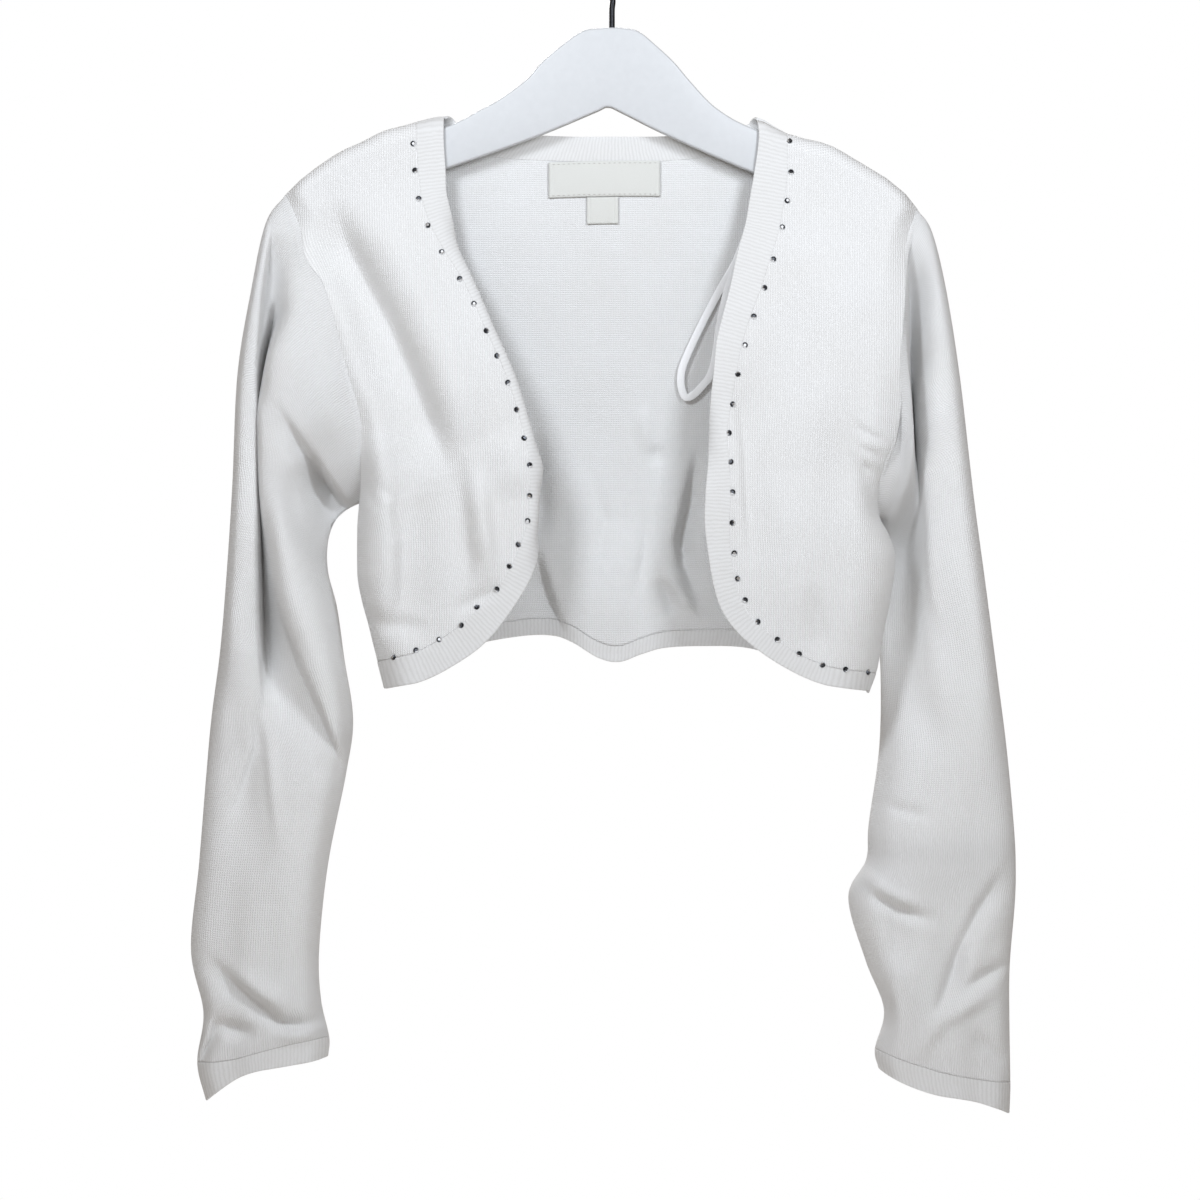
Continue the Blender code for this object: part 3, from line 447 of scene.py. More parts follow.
def cross(a, b):
    return (a[1] * b[2] - a[2] * b[1], a[2] * b[0] - a[0] * b[2], a[0] * b[1] - a[1] * b[0])


def minus(a, b):
    return tuple(p - q for p, q in zip(a, b))


def plus(a, b, times=1.0):
    return tuple(p + q * times for p, q in zip(a, b))


def length(v):
    return math.sqrt(sum(c * c for c in v))


def normals(grid, closed):
    rows = len(grid)
    cols = len(grid[0])
    made = []
    for i in range(rows):
        line = []
        for j in range(cols):
            up = grid[max(i - 1, 0)][j]
            down = grid[min(i + 1, rows - 1)][j]
            if closed:
                before = grid[i][(j - 1) % cols]
                after = grid[i][(j + 1) % cols]
            else:
                before = grid[i][max(j - 1, 0)]
                after = grid[i][min(j + 1, cols - 1)]
            line.append(unit(cross(minus(after, before), minus(down, up))))
        made.append(line)
    return made


# Share of the thickness that is left at a free edge, and at a seam
RIM = 0.45
SEAM_RIM = 0.93


def shell(name, grid, thickness, material, closed=False, thin_edges=(), map_at=None,
          inner_side=None, seam_edges=()):
    """A thin closed cloth: the grid moved half the thickness each way, with joined rims.

    thin_edges and seam_edges name the sides (top, bottom, start, end) whose edge is rounded
    off, as a free edge or only a little, as at a seam. map_at gives the knit's own place, in
    stitches across and along, for a row and column.
    """
    rows = len(grid)
    cols = len(grid[0])
    away = normals(grid, closed)
    run_across = [0.0]
    middle = grid[rows // 2]
    for p, q in zip(middle, middle[1:]):
        run_across.append(run_across[-1] + length(minus(q, p)))
    run_down = [0.0]
    for i in range(1, rows):
        gaps = [length(minus(grid[i][j], grid[i - 1][j])) for j in range(0, cols, 7)]
        run_down.append(run_down[-1] + sum(gaps) / len(gaps))

    def half_at(i, j):
        full = thickness / 2
        off = {"top": run_down[i], "bottom": run_down[-1] - run_down[i],
               "start": run_across[j], "end": run_across[-1] - run_across[j]}
        half = full
        for edges, rim in ((thin_edges, RIM), (seam_edges, SEAM_RIM)):
            for edge in edges:
                if off[edge] < full:
                    rounding = math.sqrt(max(1 - (1 - off[edge] / full) ** 2, 0.0))
                    half = min(half, full * (rim + (1 - rim) * rounding))
        return half

    points = []
    for sign in (1, -1):
        for i in range(rows):
            for j in range(cols):
                points.append(plus(grid[i][j], away[i][j], sign * half_at(i, j)))
    count = rows * cols
    faces = []
    maps = []

    def stitch(i, j):
        if map_at:
            return map_at(i, j)
        return run_across[min(j, cols - 1)] / WALE, run_down[i] / COURSE

    spans = cols if closed else cols - 1
    for i in range(rows - 1):
        for j in range(spans):
            k = (j + 1) % cols
            a, b, c, d = i * cols + j, i * cols + k, (i + 1) * cols + k, (i + 1) * cols + j
            corner = (stitch(i, j), stitch(i, j + 1), stitch(i + 1, j + 1), stitch(i + 1, j))
            faces.append((a, b, c, d))
            maps.append(corner)
            faces.append((count + d, count + c, count + b, count + a))
            maps.append(corner[::-1])

    def rim(first, second):
        """A face across the thickness, from one place of the grid to the next."""
        a, b = (i * cols + j % cols for i, j in (first, second))
        faces.append((a, count + a, count + b, b))
        maps.append((stitch(*first), stitch(*first), stitch(*second), stitch(*second)))

    last = rows - 1
    end = cols - 1
    for j in range(spans):
        rim((0, j), (0, j + 1))
        rim((last, j + 1), (last, j))
    if not closed:
        for i in range(last):
            rim((i + 1, 0), (i, 0))
            rim((i, end), (i + 1, end))
    made = mesh_piece(name, points, faces, material, maps)
    if inner_side is not None:
        purl_inside(made, last * spans, inner_side)
    return made


def purl_inside(piece, layer_faces, inner):
    """Gives the faces of one side of a shell, odd or even in the list, the purl look."""
    piece.data.materials.append(PURL)
    kinds = [0] * len(piece.data.polygons)
    for k in range(inner, 2 * layer_faces, 2):
        kinds[k] = 1
    piece.data.polygons.foreach_set("material_index", kinds)


def mesh_piece(name, points, faces, material, maps=None, smooth=True):
    mesh = bpy.data.meshes.new(name)
    mesh.from_pydata([tuple(c * MM for c in p) for p in points], [], faces)
    mesh.update()
    if maps:
        layer = mesh.uv_layers.new(name="stitches")
        spots = []
        for corner in maps:
            for u, v in corner:
                spots.extend((u, v))
        layer.data.foreach_set("uv", spots)
    total = 0.0
    mesh.calc_loop_triangles()
    for triangle in mesh.loop_triangles:
        a, b, c = (mesh.vertices[k].co for k in triangle.vertices)
        total += a.dot(b.cross(c))
    if total < 0:
        mesh.flip_normals()
    if smooth:
        mesh.shade_smooth()
    mesh.materials.append(material)
    made = bpy.data.objects.new(name, mesh)
    bpy.context.scene.collection.objects.link(made)
    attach(made, "root")
    return made


# Materials


def shader_of(name, inputs, colour=None):
    made = bpy.data.materials.new(name)
    made.use_nodes = True
    tree = made.node_tree
    shader = tree.nodes["Principled BSDF"]
    for socket, value in inputs.items():
        shader.inputs[socket].default_value = value
    if colour:
        shader.inputs["Base Color"].default_value = (*colour, 1.0)
    return made, tree, shader


def value_node(tree, operation, a, b=None, c=None):
    node = tree.nodes.new("ShaderNodeMath")
    node.operation = operation
    for socket, given in zip(node.inputs, (a, b, c)):
        if given is None:
            continue
        if isinstance(given, (int, float)):
            socket.default_value = given
        else:
            tree.links.new(given, socket)
    return node.outputs[0]


def noise(tree, scale, detail=2.0):
    node = tree.nodes.new("ShaderNodeTexNoise")
    node.inputs["Scale"].default_value = scale
    node.inputs["Detail"].default_value = detail
    place = tree.nodes.new("ShaderNodeTexCoord")
    tree.links.new(place.outputs["Object"], node.inputs["Vector"])
    return node.outputs["Fac"]


def mix_colour(tree, factor, a, b):
    node = tree.nodes.new("ShaderNodeMix")
    node.data_type = "RGBA"
    tree.links.new(factor, node.inputs["Factor"])
    node.inputs["A"].default_value = (*a, 1.0)
    node.inputs["B"].default_value = (*b, 1.0)
    return node.outputs["Result"]


def paint(tree, shader, factor, a, b):
    tree.links.new(mix_colour(tree, factor, a, b), shader.inputs["Base Color"])


def stitch_place(tree):
    """The knit's own place: stitches across and along."""
    place = tree.nodes.new("ShaderNodeUVMap")
    place.uv_map = "stitches"
    apart = tree.nodes.new("ShaderNodeSeparateXYZ")
    tree.links.new(place.outputs["UV"], apart.inputs[0])
    return apart.outputs[0], apart.outputs[1]


def wave(tree, operation, value):
    """A sine or cosine of a place counted in whole waves, brought to 0 to 1."""
    turned = value_node(tree, operation, value_node(tree, "MULTIPLY", value, 2 * math.pi))
    return value_node(tree, "MULTIPLY_ADD", turned, 0.5, 0.5)


def bump(tree, shader, height, strength, distance):
    node = tree.nodes.new("ShaderNodeBump")
    node.inputs["Strength"].default_value = strength
    node.inputs["Distance"].default_value = distance
    tree.links.new(height, node.inputs["Height"])
    tree.links.new(node.outputs["Normal"], shader.inputs["Normal"])


# Knit: strength and depth (in metres) of its relief, painted shade colour of its hollows and
# colour of its loops, slant of the stitches, and how far the rows show beside the columns
KNIT_LOOKS = {
    "plain": (0.60, 0.00040, (0.70, 0.695, 0.685), (0.875, 0.875, 0.875), 1.1, 0.7),
    "purl": (0.55, 0.00036, (0.70, 0.70, 0.695), (0.865, 0.87, 0.88), 0.2, 0.4),
    "rib": (0.30, 0.00026, (0.64, 0.635, 0.625), (0.785, 0.785, 0.785), 1.1, 0.15),
}
RIB_FULLNESS = 0.6
# Stray yarn, fuzz and cloudy tone: how fine each is, and how much of the first two
STRAY_SCALE = 320.0
STRAY = 0.7
FUZZ_SCALE = 2600.0
FUZZ = 0.5
CLOUD_SCALE = 34.0
CLOUD_TONE = (0.94, 0.93, 0.915)


def knit_material(name, kind):
    """Cotton knit: columns of V stitches, the same seen from inside, or a band's ribs."""
    strength, distance, dark, light, slant, row_share = KNIT_LOOKS[kind]
    made, tree, shader = shader_of(name, {"Roughness": 0.95, "Sheen Weight": 0.12,
                                          "Sheen Roughness": 0.5, "Specular IOR Level": 0.12})
    across, along = stitch_place(tree)
    stray = value_node(tree, "MULTIPLY_ADD", noise(tree, STRAY_SCALE), STRAY, -STRAY / 2)
    across = value_node(tree, "ADD", across, stray)
    along = value_node(tree, "ADD", along, stray)
    column = wave(tree, "COSINE", across)
    leaning = value_node(tree, "PINGPONG", across, 0.5)
    row = wave(tree, "SINE", value_node(tree, "MULTIPLY_ADD", leaning, slant, along))
    if kind == "rib":
        column = value_node(tree, "POWER", column, RIB_FULLNESS)
    elif kind == "purl":
        column = value_node(tree, "MULTIPLY", column, row)
    height = value_node(tree, "MULTIPLY_ADD", row, row_share, column)
    height = value_node(tree, "MULTIPLY_ADD", noise(tree, FUZZ_SCALE, 3.0), FUZZ, height)
    bump(tree, shader, height, strength, distance)
    # Painted shade: the colour goes from the loop colour to the darker hollow colour as the
    # relief sinks into the knit's grooves
    shade = tree.nodes.new("ShaderNodeClamp")
    tree.links.new(value_node(tree, "MULTIPLY", height, 0.5), shade.inputs[0])
    product = tree.nodes.new("ShaderNodeMix")
    product.data_type = "RGBA"
    product.blend_type = "MULTIPLY"
    product.inputs["Factor"].default_value = 1.0
    tree.links.new(mix_colour(tree, shade.outputs[0], dark, light), product.inputs["A"])
    cloud = mix_colour(tree, noise(tree, CLOUD_SCALE, 5.0), CLOUD_TONE, (1.0, 1.0, 1.0))
    tree.links.new(cloud, product.inputs["B"])
    tree.links.new(product.outputs["Result"], shader.inputs["Base Color"])
    return made


def board_material():
    made, tree, shader = shader_of("pale_painted_board", {
        "Roughness": 0.38, "Coat Weight": 0.25, "Coat Roughness": 0.3})
    paint(tree, shader, noise(tree, 260.0, 4.0), (0.55, 0.56, 0.57), (0.60, 0.61, 0.62))
    bump(tree, shader, noise(tree, 90.0, 3.0), 0.12, 0.0006)
    return made


def wire_material():
    made, tree, shader = shader_of("dark_wire", {"Roughness": 0.32, "Metallic": 0.85},
                                   (0.018, 0.018, 0.02))
    bump(tree, shader, noise(tree, 700.0, 3.0), 0.15, 0.0002)
    return made


def satin_material():
    made, tree, shader = shader_of("white_satin_ribbon", {"Roughness": 0.3, "Sheen Weight": 0.4})
    grain = noise(tree, 1800.0)
    paint(tree, shader, grain, (0.86, 0.86, 0.86), (0.95, 0.95, 0.95))
    bump(tree, shader, grain, 0.25, 0.0002)
    return made


def label_material():
    made, tree, shader = shader_of("cream_woven", {"Roughness": 0.6})
    across, along = stitch_place(tree)
    warp = value_node(tree, "SINE", value_node(tree, "MULTIPLY", across, 18.0))
    weft = value_node(tree, "SINE", value_node(tree, "MULTIPLY", along, 14.0))
    weave = value_node(tree, "MULTIPLY_ADD", value_node(tree, "MULTIPLY", warp, weft), 0.5, 0.5)
    paint(tree, shader, weave, (0.62, 0.62, 0.585), (0.74, 0.74, 0.705))
    bump(tree, shader, weave, 0.5, 0.0002)
    return made


def thread_material():
    made, tree, shader = shader_of("grey_thread", {"Roughness": 0.7})
    paint(tree, shader, noise(tree, 900.0), (0.36, 0.34, 0.31), (0.55, 0.53, 0.49))
    return made


def facet_material(name, colour, metallic, roughness):
    return shader_of(name, {"Metallic": metallic, "Roughness": roughness}, colour)[0]


KNIT = knit_material("white_fine_knit", "plain")
PURL = knit_material("white_fine_knit_inside", "purl")
RIB = knit_material("white_fine_rib", "rib")
BOARD = board_material()
WIRE = wire_material()
SATIN = satin_material()
WOVEN = label_material()
THREAD = thread_material()

# Fronts

# Share of the band seam above the front's lower corner
CORNER = 0.80
# The band's lower end is rounded off over this length
CORNER_ROUND = 4.5
CORNER_MARKS = (0.3, 0.2, 0.12, 0.06, 0.02)
# The band reaches up to the shoulder line over this share of the seam
TOP_SHARE = 0.12
# First share of a band's rows, and the part of the seam that the even rows take
BAND_FROM = 0.0006
BAND_RUN = 0.9985
# Shares before and after a place that give a line's direction there
BAND_NEAR = 0.004
LOOP_NEAR = 0.01
# Outline points nearer than this above the hem seam are left out of a panel's side
FRONT_CLEAR = 4
BACK_CLEAR = 3
# Places across a band at its seam and at its free edge, and across a back band at both edges
BAND_MARKS = ([0, 0.01, 0.025, 0.045, 0.07], [0.93, 0.96, 0.98, 0.992, 1])
BACK_BAND_MARKS = ([0, 0.01, 0.03, 0.06], [0.94, 0.97, 0.99, 1])
# Mean width of the front bands and of the back's bands
BAND_WIDE = 14
BACK_BAND_WIDE = 12


def spaced(count):
    """Shares from 0 to 1, with extra close marks at both ends."""
    marks = [i / count for i in range(1, count)]
    low = [m / count for m in CLOSE_MARKS]
    high = [1 - m / count for m in reversed(CLOSE_MARKS)]
    return [0] + low + marks + high + [1]


def marks_between(low, high, steps):
    """Even marks between the close marks of both edges."""
    span = high[0] - low[-1]
    return low + [low[-1] + span * i / steps for i in range(1, steps)] + high


def direction(line, share, near):
    """A line's direction in x and z at a share of it, read between two places near it."""
    x1, z1 = line.at(share - near)[:2]
    x2, z2 = line.at(share + near)[:2]
    return unit((x2 - x1, z2 - z1))


def rows_down(count):
    """Shares from the top of a panel to its bottom, closer where it rounds over the board."""
    return list(TOP_ROWS) + [TOP_ROWS[-1] + (1 - TOP_ROWS[-1]) * i / count
                             for i in range(1, count + 1)]


def patch(u, v, outer, inner, high, low, corners):
    """The place at shares u across and v down inside four boundary places, and the corners
    top outer, top inner, bottom outer and bottom inner."""
    shares = ((1 - u) * (1 - v), u * (1 - v), (1 - u) * v, u * v)
    return [(1 - u) * outer[k] + u * inner[k] + (1 - v) * high[k] + v * low[k]
            - sum(share * corner[k] for share, corner in zip(shares, corners))
            for k in range(2)]


def wales_along(row, start):
    """Each point's place across the wales: its distance along the row, dips counted, from
    the point at start, which keeps its own x."""
    made = [0.0] * len(row)
    made[start] = row[start][0]
    ahead = [(j, j - 1) for j in range(start + 1, len(row))]
    behind = [(j, j + 1) for j in range(start - 1, -1, -1)]
    for j, near in ahead + behind:
        step = row[j][0] - row[near][0]
        made[j] = made[near] + math.copysign(math.hypot(step, row[j][1] - row[near][1]), step)
    return made


def edge_at(side, z):
    """The place of the body's outline at a height."""
    return row_at(OUTLINE[side], z)[1], z


def knit_panel(name, node, flat, to_cloth, start, inner_side):
    """A knit panel from rows of places on its flat outline. Its wales keep their own x in
    the column start."""
    grid = [[to_cloth(x, z) for x, z in row] for row in flat]
    wales = [wales_along(row, start) for row in grid]
    last = len(flat[0]) - 1

    def knit_map(i, j):
        k = min(j, last)
        return wales[i][k] / WALE, flat[i][k][1] / COURSE

    piece = shell(name, grid, KNIT_THICK, KNIT, map_at=knit_map,
                  seam_edges=("start", "end", "bottom"), inner_side=inner_side)
    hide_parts(node)
    return piece


def front_panel(side):
    seam = Line([row[:2] for row in BAND_SEAM[side]])
    edge = [(row[1], row[0]) for row in OUTLINE[side]]
    side_end = BAND_SEAM[side][-1][:2]
    outer_line = Line([p for p in edge if p[1] > side_end[1] + FRONT_CLEAR] + [side_end])
    tip = SHOULDER[side][-1]
    neck = seam.at(0)
    corners = (tip, neck, side_end, seam.at(CORNER))
    across = spaced(105)
    flat = []
    for v in rows_down(190):
        outer = edge_at(side, outer_line.at(v)[1])
        inner = seam.at(CORNER * v)
        row = []
        for s in across:
            u = FRONT_IN + s * (1 - 2 * FRONT_IN)
            low = seam.at(1 - (1 - CORNER) * u)
            high_x = tip[0] + (neck[0] - tip[0]) * u
            high = (high_x, top_at(side, high_x))
            x, z = patch(u, v, outer, inner, high, low, corners)
            if v > LOW_SHARE:
                z += LOW_GAP * (v - LOW_SHARE) / (1 - LOW_SHARE)
            row.append((x, z))
        flat.append(row)
    return knit_panel(f"front_{side}_knit", f"front_{side}", flat,
                      lambda x, z: body_point(side, -1, x, z), start=len(across) - 1,
                      inner_side=1 if side == "right" else 0)


def band_place(side, line, share, across):
    """The front band at a share of its seam and a share of its width, turned under."""
    x, z, turn, width = line.at(share)
    along_x, along_z = direction(line, share, BAND_NEAR)
    turned = 1 if side == "left" else -1
    end_room = (1 - share) * line.length
    if end_room < CORNER_ROUND:
        width -= CORNER_ROUND * (1 - math.sqrt(max(1 - (1 - end_room / CORNER_ROUND) ** 2, 0)))
    bend = max(math.radians(turn), 1e-3)
    radius = width / bend
    away = SEAM_GAP + across * (width - SEAM_GAP)
    reach = radius * math.sin(away / radius)
    sink = radius * (1 - math.cos(away / radius))
    flat_x = x - turned * along_z * reach
    flat_z = z + turned * along_x * reach
    if share < TOP_SHARE:
        flat_z += (top_at(side, flat_x) - line.at(0)[1]) * (1 - share / TOP_SHARE) ** 2
    px, py, pz = body_point(side, -1, flat_x, flat_z)
    return px, py + sink, pz


def front_band(side):
    line = Line(BAND_SEAM[side])
    count = 330
    across = marks_between(*BAND_MARKS, 18)
    marks = [BAND_FROM + BAND_RUN * i / count for i in range(count)]
    marks += [1 - CORNER_ROUND / line.length * m for m in CORNER_MARKS]
    marks.sort()
    grid = [[band_place(side, line, s, m) for m in across] for s in marks]
    piece = shell(f"band_front_{side}_rib", grid, RIB_THICK, RIB,
                  thin_edges=("end", "top", "bottom"), seam_edges=("start",),
                  map_at=lambda i, j: (marks[i] * line.length / RIB_PITCH,
                                       across[min(j, len(across) - 1)] * BAND_WIDE / COURSE))
    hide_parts(f"band_front_{side}")
    return piece


# Back


def back_point(x, z):
    return body_point("left" if x < 0 else "right", 1, x, z)


def hem_line(up):
    """The back hem edge, or the line a distance up from it, ending on the side seams."""
    line = [(x, z + up) for x, z in BACK_HEM]
    for side, index in (("left", 0), ("right", -1)):
        line[index] = edge_at(side, line[index][1])
    return line


# Share of the back's top that each shoulder takes
SHOULDER_SHARE = 0.21
neck_line = Line(NECK_SEAM)


def back_top(u):
    """The back panel's top: left shoulder, neck seam, right shoulder."""
    neck_left = NECK_SEAM[0][0]
    neck_right = NECK_SEAM[-1][0]
    if u < SHOULDER_SHARE:
        tip = OUTLINE["left"][0][1]
        x = tip + (neck_left - tip) * u / SHOULDER_SHARE
        return x, top_at("left", x)
    if u > 1 - SHOULDER_SHARE:
        tip = OUTLINE["right"][0][1]
        x = neck_right + (tip - neck_right) * (u - 1 + SHOULDER_SHARE) / SHOULDER_SHARE
        return x, top_at("right", x)
    return neck_line.at((u - SHOULDER_SHARE) / (1 - 2 * SHOULDER_SHARE))


def back_panel():
    seam_points = hem_line(HEM_BAND)
    seam = Line(seam_points)
    sides = {}
    for side, index in (("left", 0), ("right", -1)):
        end = seam_points[index]
        edge = [(row[1], row[0]) for row in OUTLINE[side] if row[0] > end[1] + BACK_CLEAR]
        sides[side] = Line(edge + [end])
    ends = (back_top(0), back_top(1), seam.at(0), seam.at(1))
    across = spaced(230)
    flat = []
    for v in rows_down(170):
        left = edge_at("left", sides["left"].at(v)[1])
        right = edge_at("right", sides["right"].at(v)[1])
        row = []
        for s in across:
            u = BACK_IN + (1 - 2 * BACK_IN) * s
            row.append(patch(u, v, left, right, back_top(u), seam.at(u), ends))
        flat.append(row)
    return knit_panel("back_knit", "back_panel", flat, back_point, start=len(across) // 2,
                      inner_side=1)


def back_band(name, node, line_a, line_b, low, high, steps, count, free, sewn):
    """A rib band of the back between two lines of its flat outline."""
    first = Line(line_a)
    second = Line(line_b)
    across = [low + (high - low) * m for m in marks_between(*BACK_BAND_MARKS, steps)]
    marks = [BACK_IN + (1 - 2 * BACK_IN) * i / count for i in range(count + 1)]
    grid = []
    for m in across:
        row = []
        for s in marks:
            p = first.at(s)
            q = second.at(s)
            row.append(back_point(p[0] + (q[0] - p[0]) * m, p[1] + (q[1] - p[1]) * m))
        grid.append(row)
    piece = shell(name, grid, RIB_THICK, RIB, thin_edges=free, seam_edges=sewn,
                  map_at=lambda i, j: (marks[min(j, count)] * second.length / RIB_PITCH,
                                       across[i] * BACK_BAND_WIDE / COURSE))
    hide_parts(node)
    return piece


# Sleeves

# The sleeve's seam lies this far inside the body's edge
ARMHOLE_GAP = -0.1
# The far side of the cuff ends this far up
CUFF_BACK_UP = 1.0
# Place of the strip line on the way to the outer line
STRIP_OUT = 0.45
# Places of the lines of the back of the arm, from its inner to its outer line
BACK_SPREAD = {1: 0.12, 2: 0.27, 3: 0.43, 4: 0.58, 5: 0.74, 6: 0.88}
BACK_FULLNESS = 0.6
# Folds take full depth where the cloth faces the front, and none at the sides
FACING = 2.2
FACING_ROUND = 0.7
# Folds start this far down, counted in rings
FOLDS_FROM = 0.2
# Room at the cuff's seam above and below it, counted in rings
SEAM_UP = 0.001
SEAM_DOWN = 0.002
CUFF_ROWS = (0, 0.03, 0.07, 0.12, 0.2, 0.3, 0.4, 0.5, 0.6, 0.7, 0.8, 0.88, 0.93, 0.97, 0.99, 1)
# Mean run from ring to ring, the way round a cuff, and a cuff's courses
RING_RUN = 42
CUFF_ROUND = 170
CUFF_COURSES = 10


def armhole_point(side, t):
    """A place on the armhole seam, just inside the body's edge."""
    row = SLEEVE[side][0]
    ends = 2 * FRONT_LINES
    heights = [(row[k][1],) for k in range(FRONT_LINES + 1)]
    turn = t if t <= FRONT_LINES else ends - t
    z = spline(heights, turn)[0]
    face = -1 if t <= FRONT_LINES else 1
    edge_x = row_at(OUTLINE[side], z)[1]
    x, y, z = body_point(side, face, edge_x, z)
    if t in (0, FRONT_LINES, ends):
        y = (y + body_point(side, -face, edge_x, z)[1]) / 2
    outward = -1 if side == "left" else 1
    return x + outward * ARMHOLE_GAP, y, z


def ring_point(side, ring, t):
    """A place on a sleeve ring; t counts its lines round the front, then the back."""
    if ring == 0:
        return armhole_point(side, t)
    row = SLEEVE[side][ring]
    inner, outer, back = row[0], row[FRONT_LINES], row[-1]
    behind = []
    for k in range(FRONT_LINES - 1, 0, -1):
        share = math.sin(math.pi * k / FRONT_LINES) ** BACK_FULLNESS
        base = outer[2] if k > FRONT_LINES // 2 else inner[2]
        x = inner[0] + (outer[0] - inner[0]) * BACK_SPREAD[k]
        z = inner[1] + (outer[1] - inner[1]) * BACK_SPREAD[k]
        if ring == len(SLEEVE[side]) - 1:
            z = max(row[k][1], z) + CUFF_BACK_UP
        behind.append((x, z, base + (back - base) * share))
    strip = row[FRONT_LINES - 1]
    out_x = strip[0] + (outer[0] - strip[0]) * STRIP_OUT
    out_z = strip[1] + (outer[1] - strip[1]) * STRIP_OUT
    lines = list(row[:FRONT_LINES - 1]) + [(out_x, out_z, strip[2]), outer] + behind
    around = [lines[-1]] + lines + lines[:2]
    x, z, y = spline(around, t + 1)
    return x, y, z


def sleeve(side):
    lines = 2 * FRONT_LINES
    front_steps = 15
    back_steps = 9
    marks = [i / front_steps for i in range(FRONT_LINES * front_steps)]
    marks += [FRONT_LINES + i / back_steps for i in range(FRONT_LINES * back_steps)]
    rings = len(SLEEVE[side])
    columns = [[ring_point(side, ring, t) for ring in range(rings)] for t in marks]
    last = rings - 2
    cuff_start = last + SEAM_DOWN
    steps = 250
    rows = [(last - SEAM_UP) * i / steps for i in range(steps + 1)]
    cuff_rows = [cuff_start + (rings - 1 - cuff_start) * m for m in CUFF_ROWS]
    grids = []
    for places in (rows, cuff_rows):
        grid = []
        for place in places:
            row = []
            for column, t in zip(columns, marks):
                x, y, z = spline(column, place)
                if t < FRONT_LINES and place > FOLDS_FROM:
                    facing = FACING * math.sin(math.pi * t / FRONT_LINES) ** FACING_ROUND
                    y += min(facing, 1.0) * fold_sum(x, z, FOLDS_SLEEVE[side])
                row.append((x, y, z))
            grid.append(row)
        grids.append(grid)
    crest = FRONT_LINES // 2 * front_steps
    rounds = []
    for row in grids[0]:
        gone = [0.0]
        for p, q in zip(row, row[1:] + row[:1]):
            gone.append(gone[-1] + length(minus(q, p)))
        rounds.append([(g - gone[crest]) / WALE for g in gone])

    def knit_map(i, j):
        return rounds[i][j], rows[i] * RING_RUN / COURSE

    piece = shell(f"sleeve_{side}_knit", grids[0], KNIT_THICK, KNIT,
                  closed=True, seam_edges=("top", "bottom"), map_at=knit_map)
    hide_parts(f"sleeve_{side}")

    def cuff_map(i, j):
        share = marks[j] / lines if j < len(marks) else 1.0
        return share * CUFF_ROUND / RIB_PITCH, cuff_rows[i] * CUFF_COURSES

    cuff = shell(f"cuff_{side}_rib", grids[1], CUFF_THICK, RIB, closed=True,
                 thin_edges=("bottom",), seam_edges=("top",), map_at=cuff_map)
    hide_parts(f"cuff_{side}")
    return piece, cuff


# Stones: radius and height of each ring of a stone, and how far it stands off the cloth

STONE_RINGS = ((1.7, 0.0), (1.7, 0.3), (1.3, 0.95), (0.75, 1.3))
STONE_OFF = 0.02
SIDES = 8
# Facet colours painted in place of a clear stone's reflections: dark facets, grey ones, and
# bright ones that are a painted glint
FACETS = [facet_material("stone_dark", (0.02, 0.021, 0.025), 0.7, 0.12),
          facet_material("stone_painted_half_glint", (0.14, 0.15, 0.17), 0.8, 0.1),
          facet_material("stone_painted_glint", (0.85, 0.86, 0.88), 0.9, 0.08)]


def surface_frame(side, x, z):
    """A point of the front's cloth and its outward direction."""
    step = 1.5
    p = body_point(side, -1, x, z)
    a = body_point(side, -1, x + step, z)
    b = body_point(side, -1, x, z - step)
    out = unit(cross(minus(a, p), minus(b, p)))
    if out[1] > 0:
        out = tuple(-c for c in out)
    return p, out


def stones(side):
    """Flat-backed faceted stones, each with a flat top and three rings of facets."""
    random.seed(7 if side == "left" else 8)
    points = []
    faces = []
    kinds = []
    for x, z in STONES[side]:
        p, out = surface_frame(side, x, z)
        out = Vector(out)
        across = out.orthogonal().normalized()
        up = out.cross(across)
        spin = random.uniform(0, math.pi / 4)
        # Painted glint: the facets towards this side are painted bright, and those just beside
        # it grey
        painted_glint_side = random.randrange(SIDES)
        base = len(points)
        lift = KNIT_THICK / 2 + STONE_OFF
        for radius, height in STONE_RINGS:
            for k in range(SIDES):
                angle = spin + k * 2 * math.pi / SIDES
                point = (Vector(p) + out * (lift + height) + across * (radius * math.cos(angle))
                         + up * (radius * math.sin(angle)))
                points.append(tuple(point))
        for ring in range(len(STONE_RINGS) - 1):
            for k in range(SIDES):
                a = base + ring * SIDES + k
                b = base + ring * SIDES + (k + 1) % SIDES
                faces.append((a, b, b + SIDES, a + SIDES))
                off_painted_glint = min((k - painted_glint_side) % SIDES, (painted_glint_side - k) % SIDES)
                if off_painted_glint <= 1 and ring > 0:
                    kinds.append(2)
                else:
                    kinds.append(1 if off_painted_glint == 2 else 0)
        top = base + SIDES * (len(STONE_RINGS) - 1)
        faces.append(tuple(top + k for k in range(SIDES)))
        # The flat top gets a painted reflection colour picked at random
        kinds.append(random.choice((0, 1, 1, 2)))
        faces.append(tuple(base + SIDES - 1 - k for k in range(SIDES)))
        kinds.append(0)
    piece = mesh_piece(f"stones_{side}", points, faces, FACETS[0], smooth=False)
    for more in FACETS[1:]:
        piece.data.materials.append(more)
    piece.data.polygons.foreach_set("material_index", kinds)
    return piece


# Label, size tab, ribbon loop

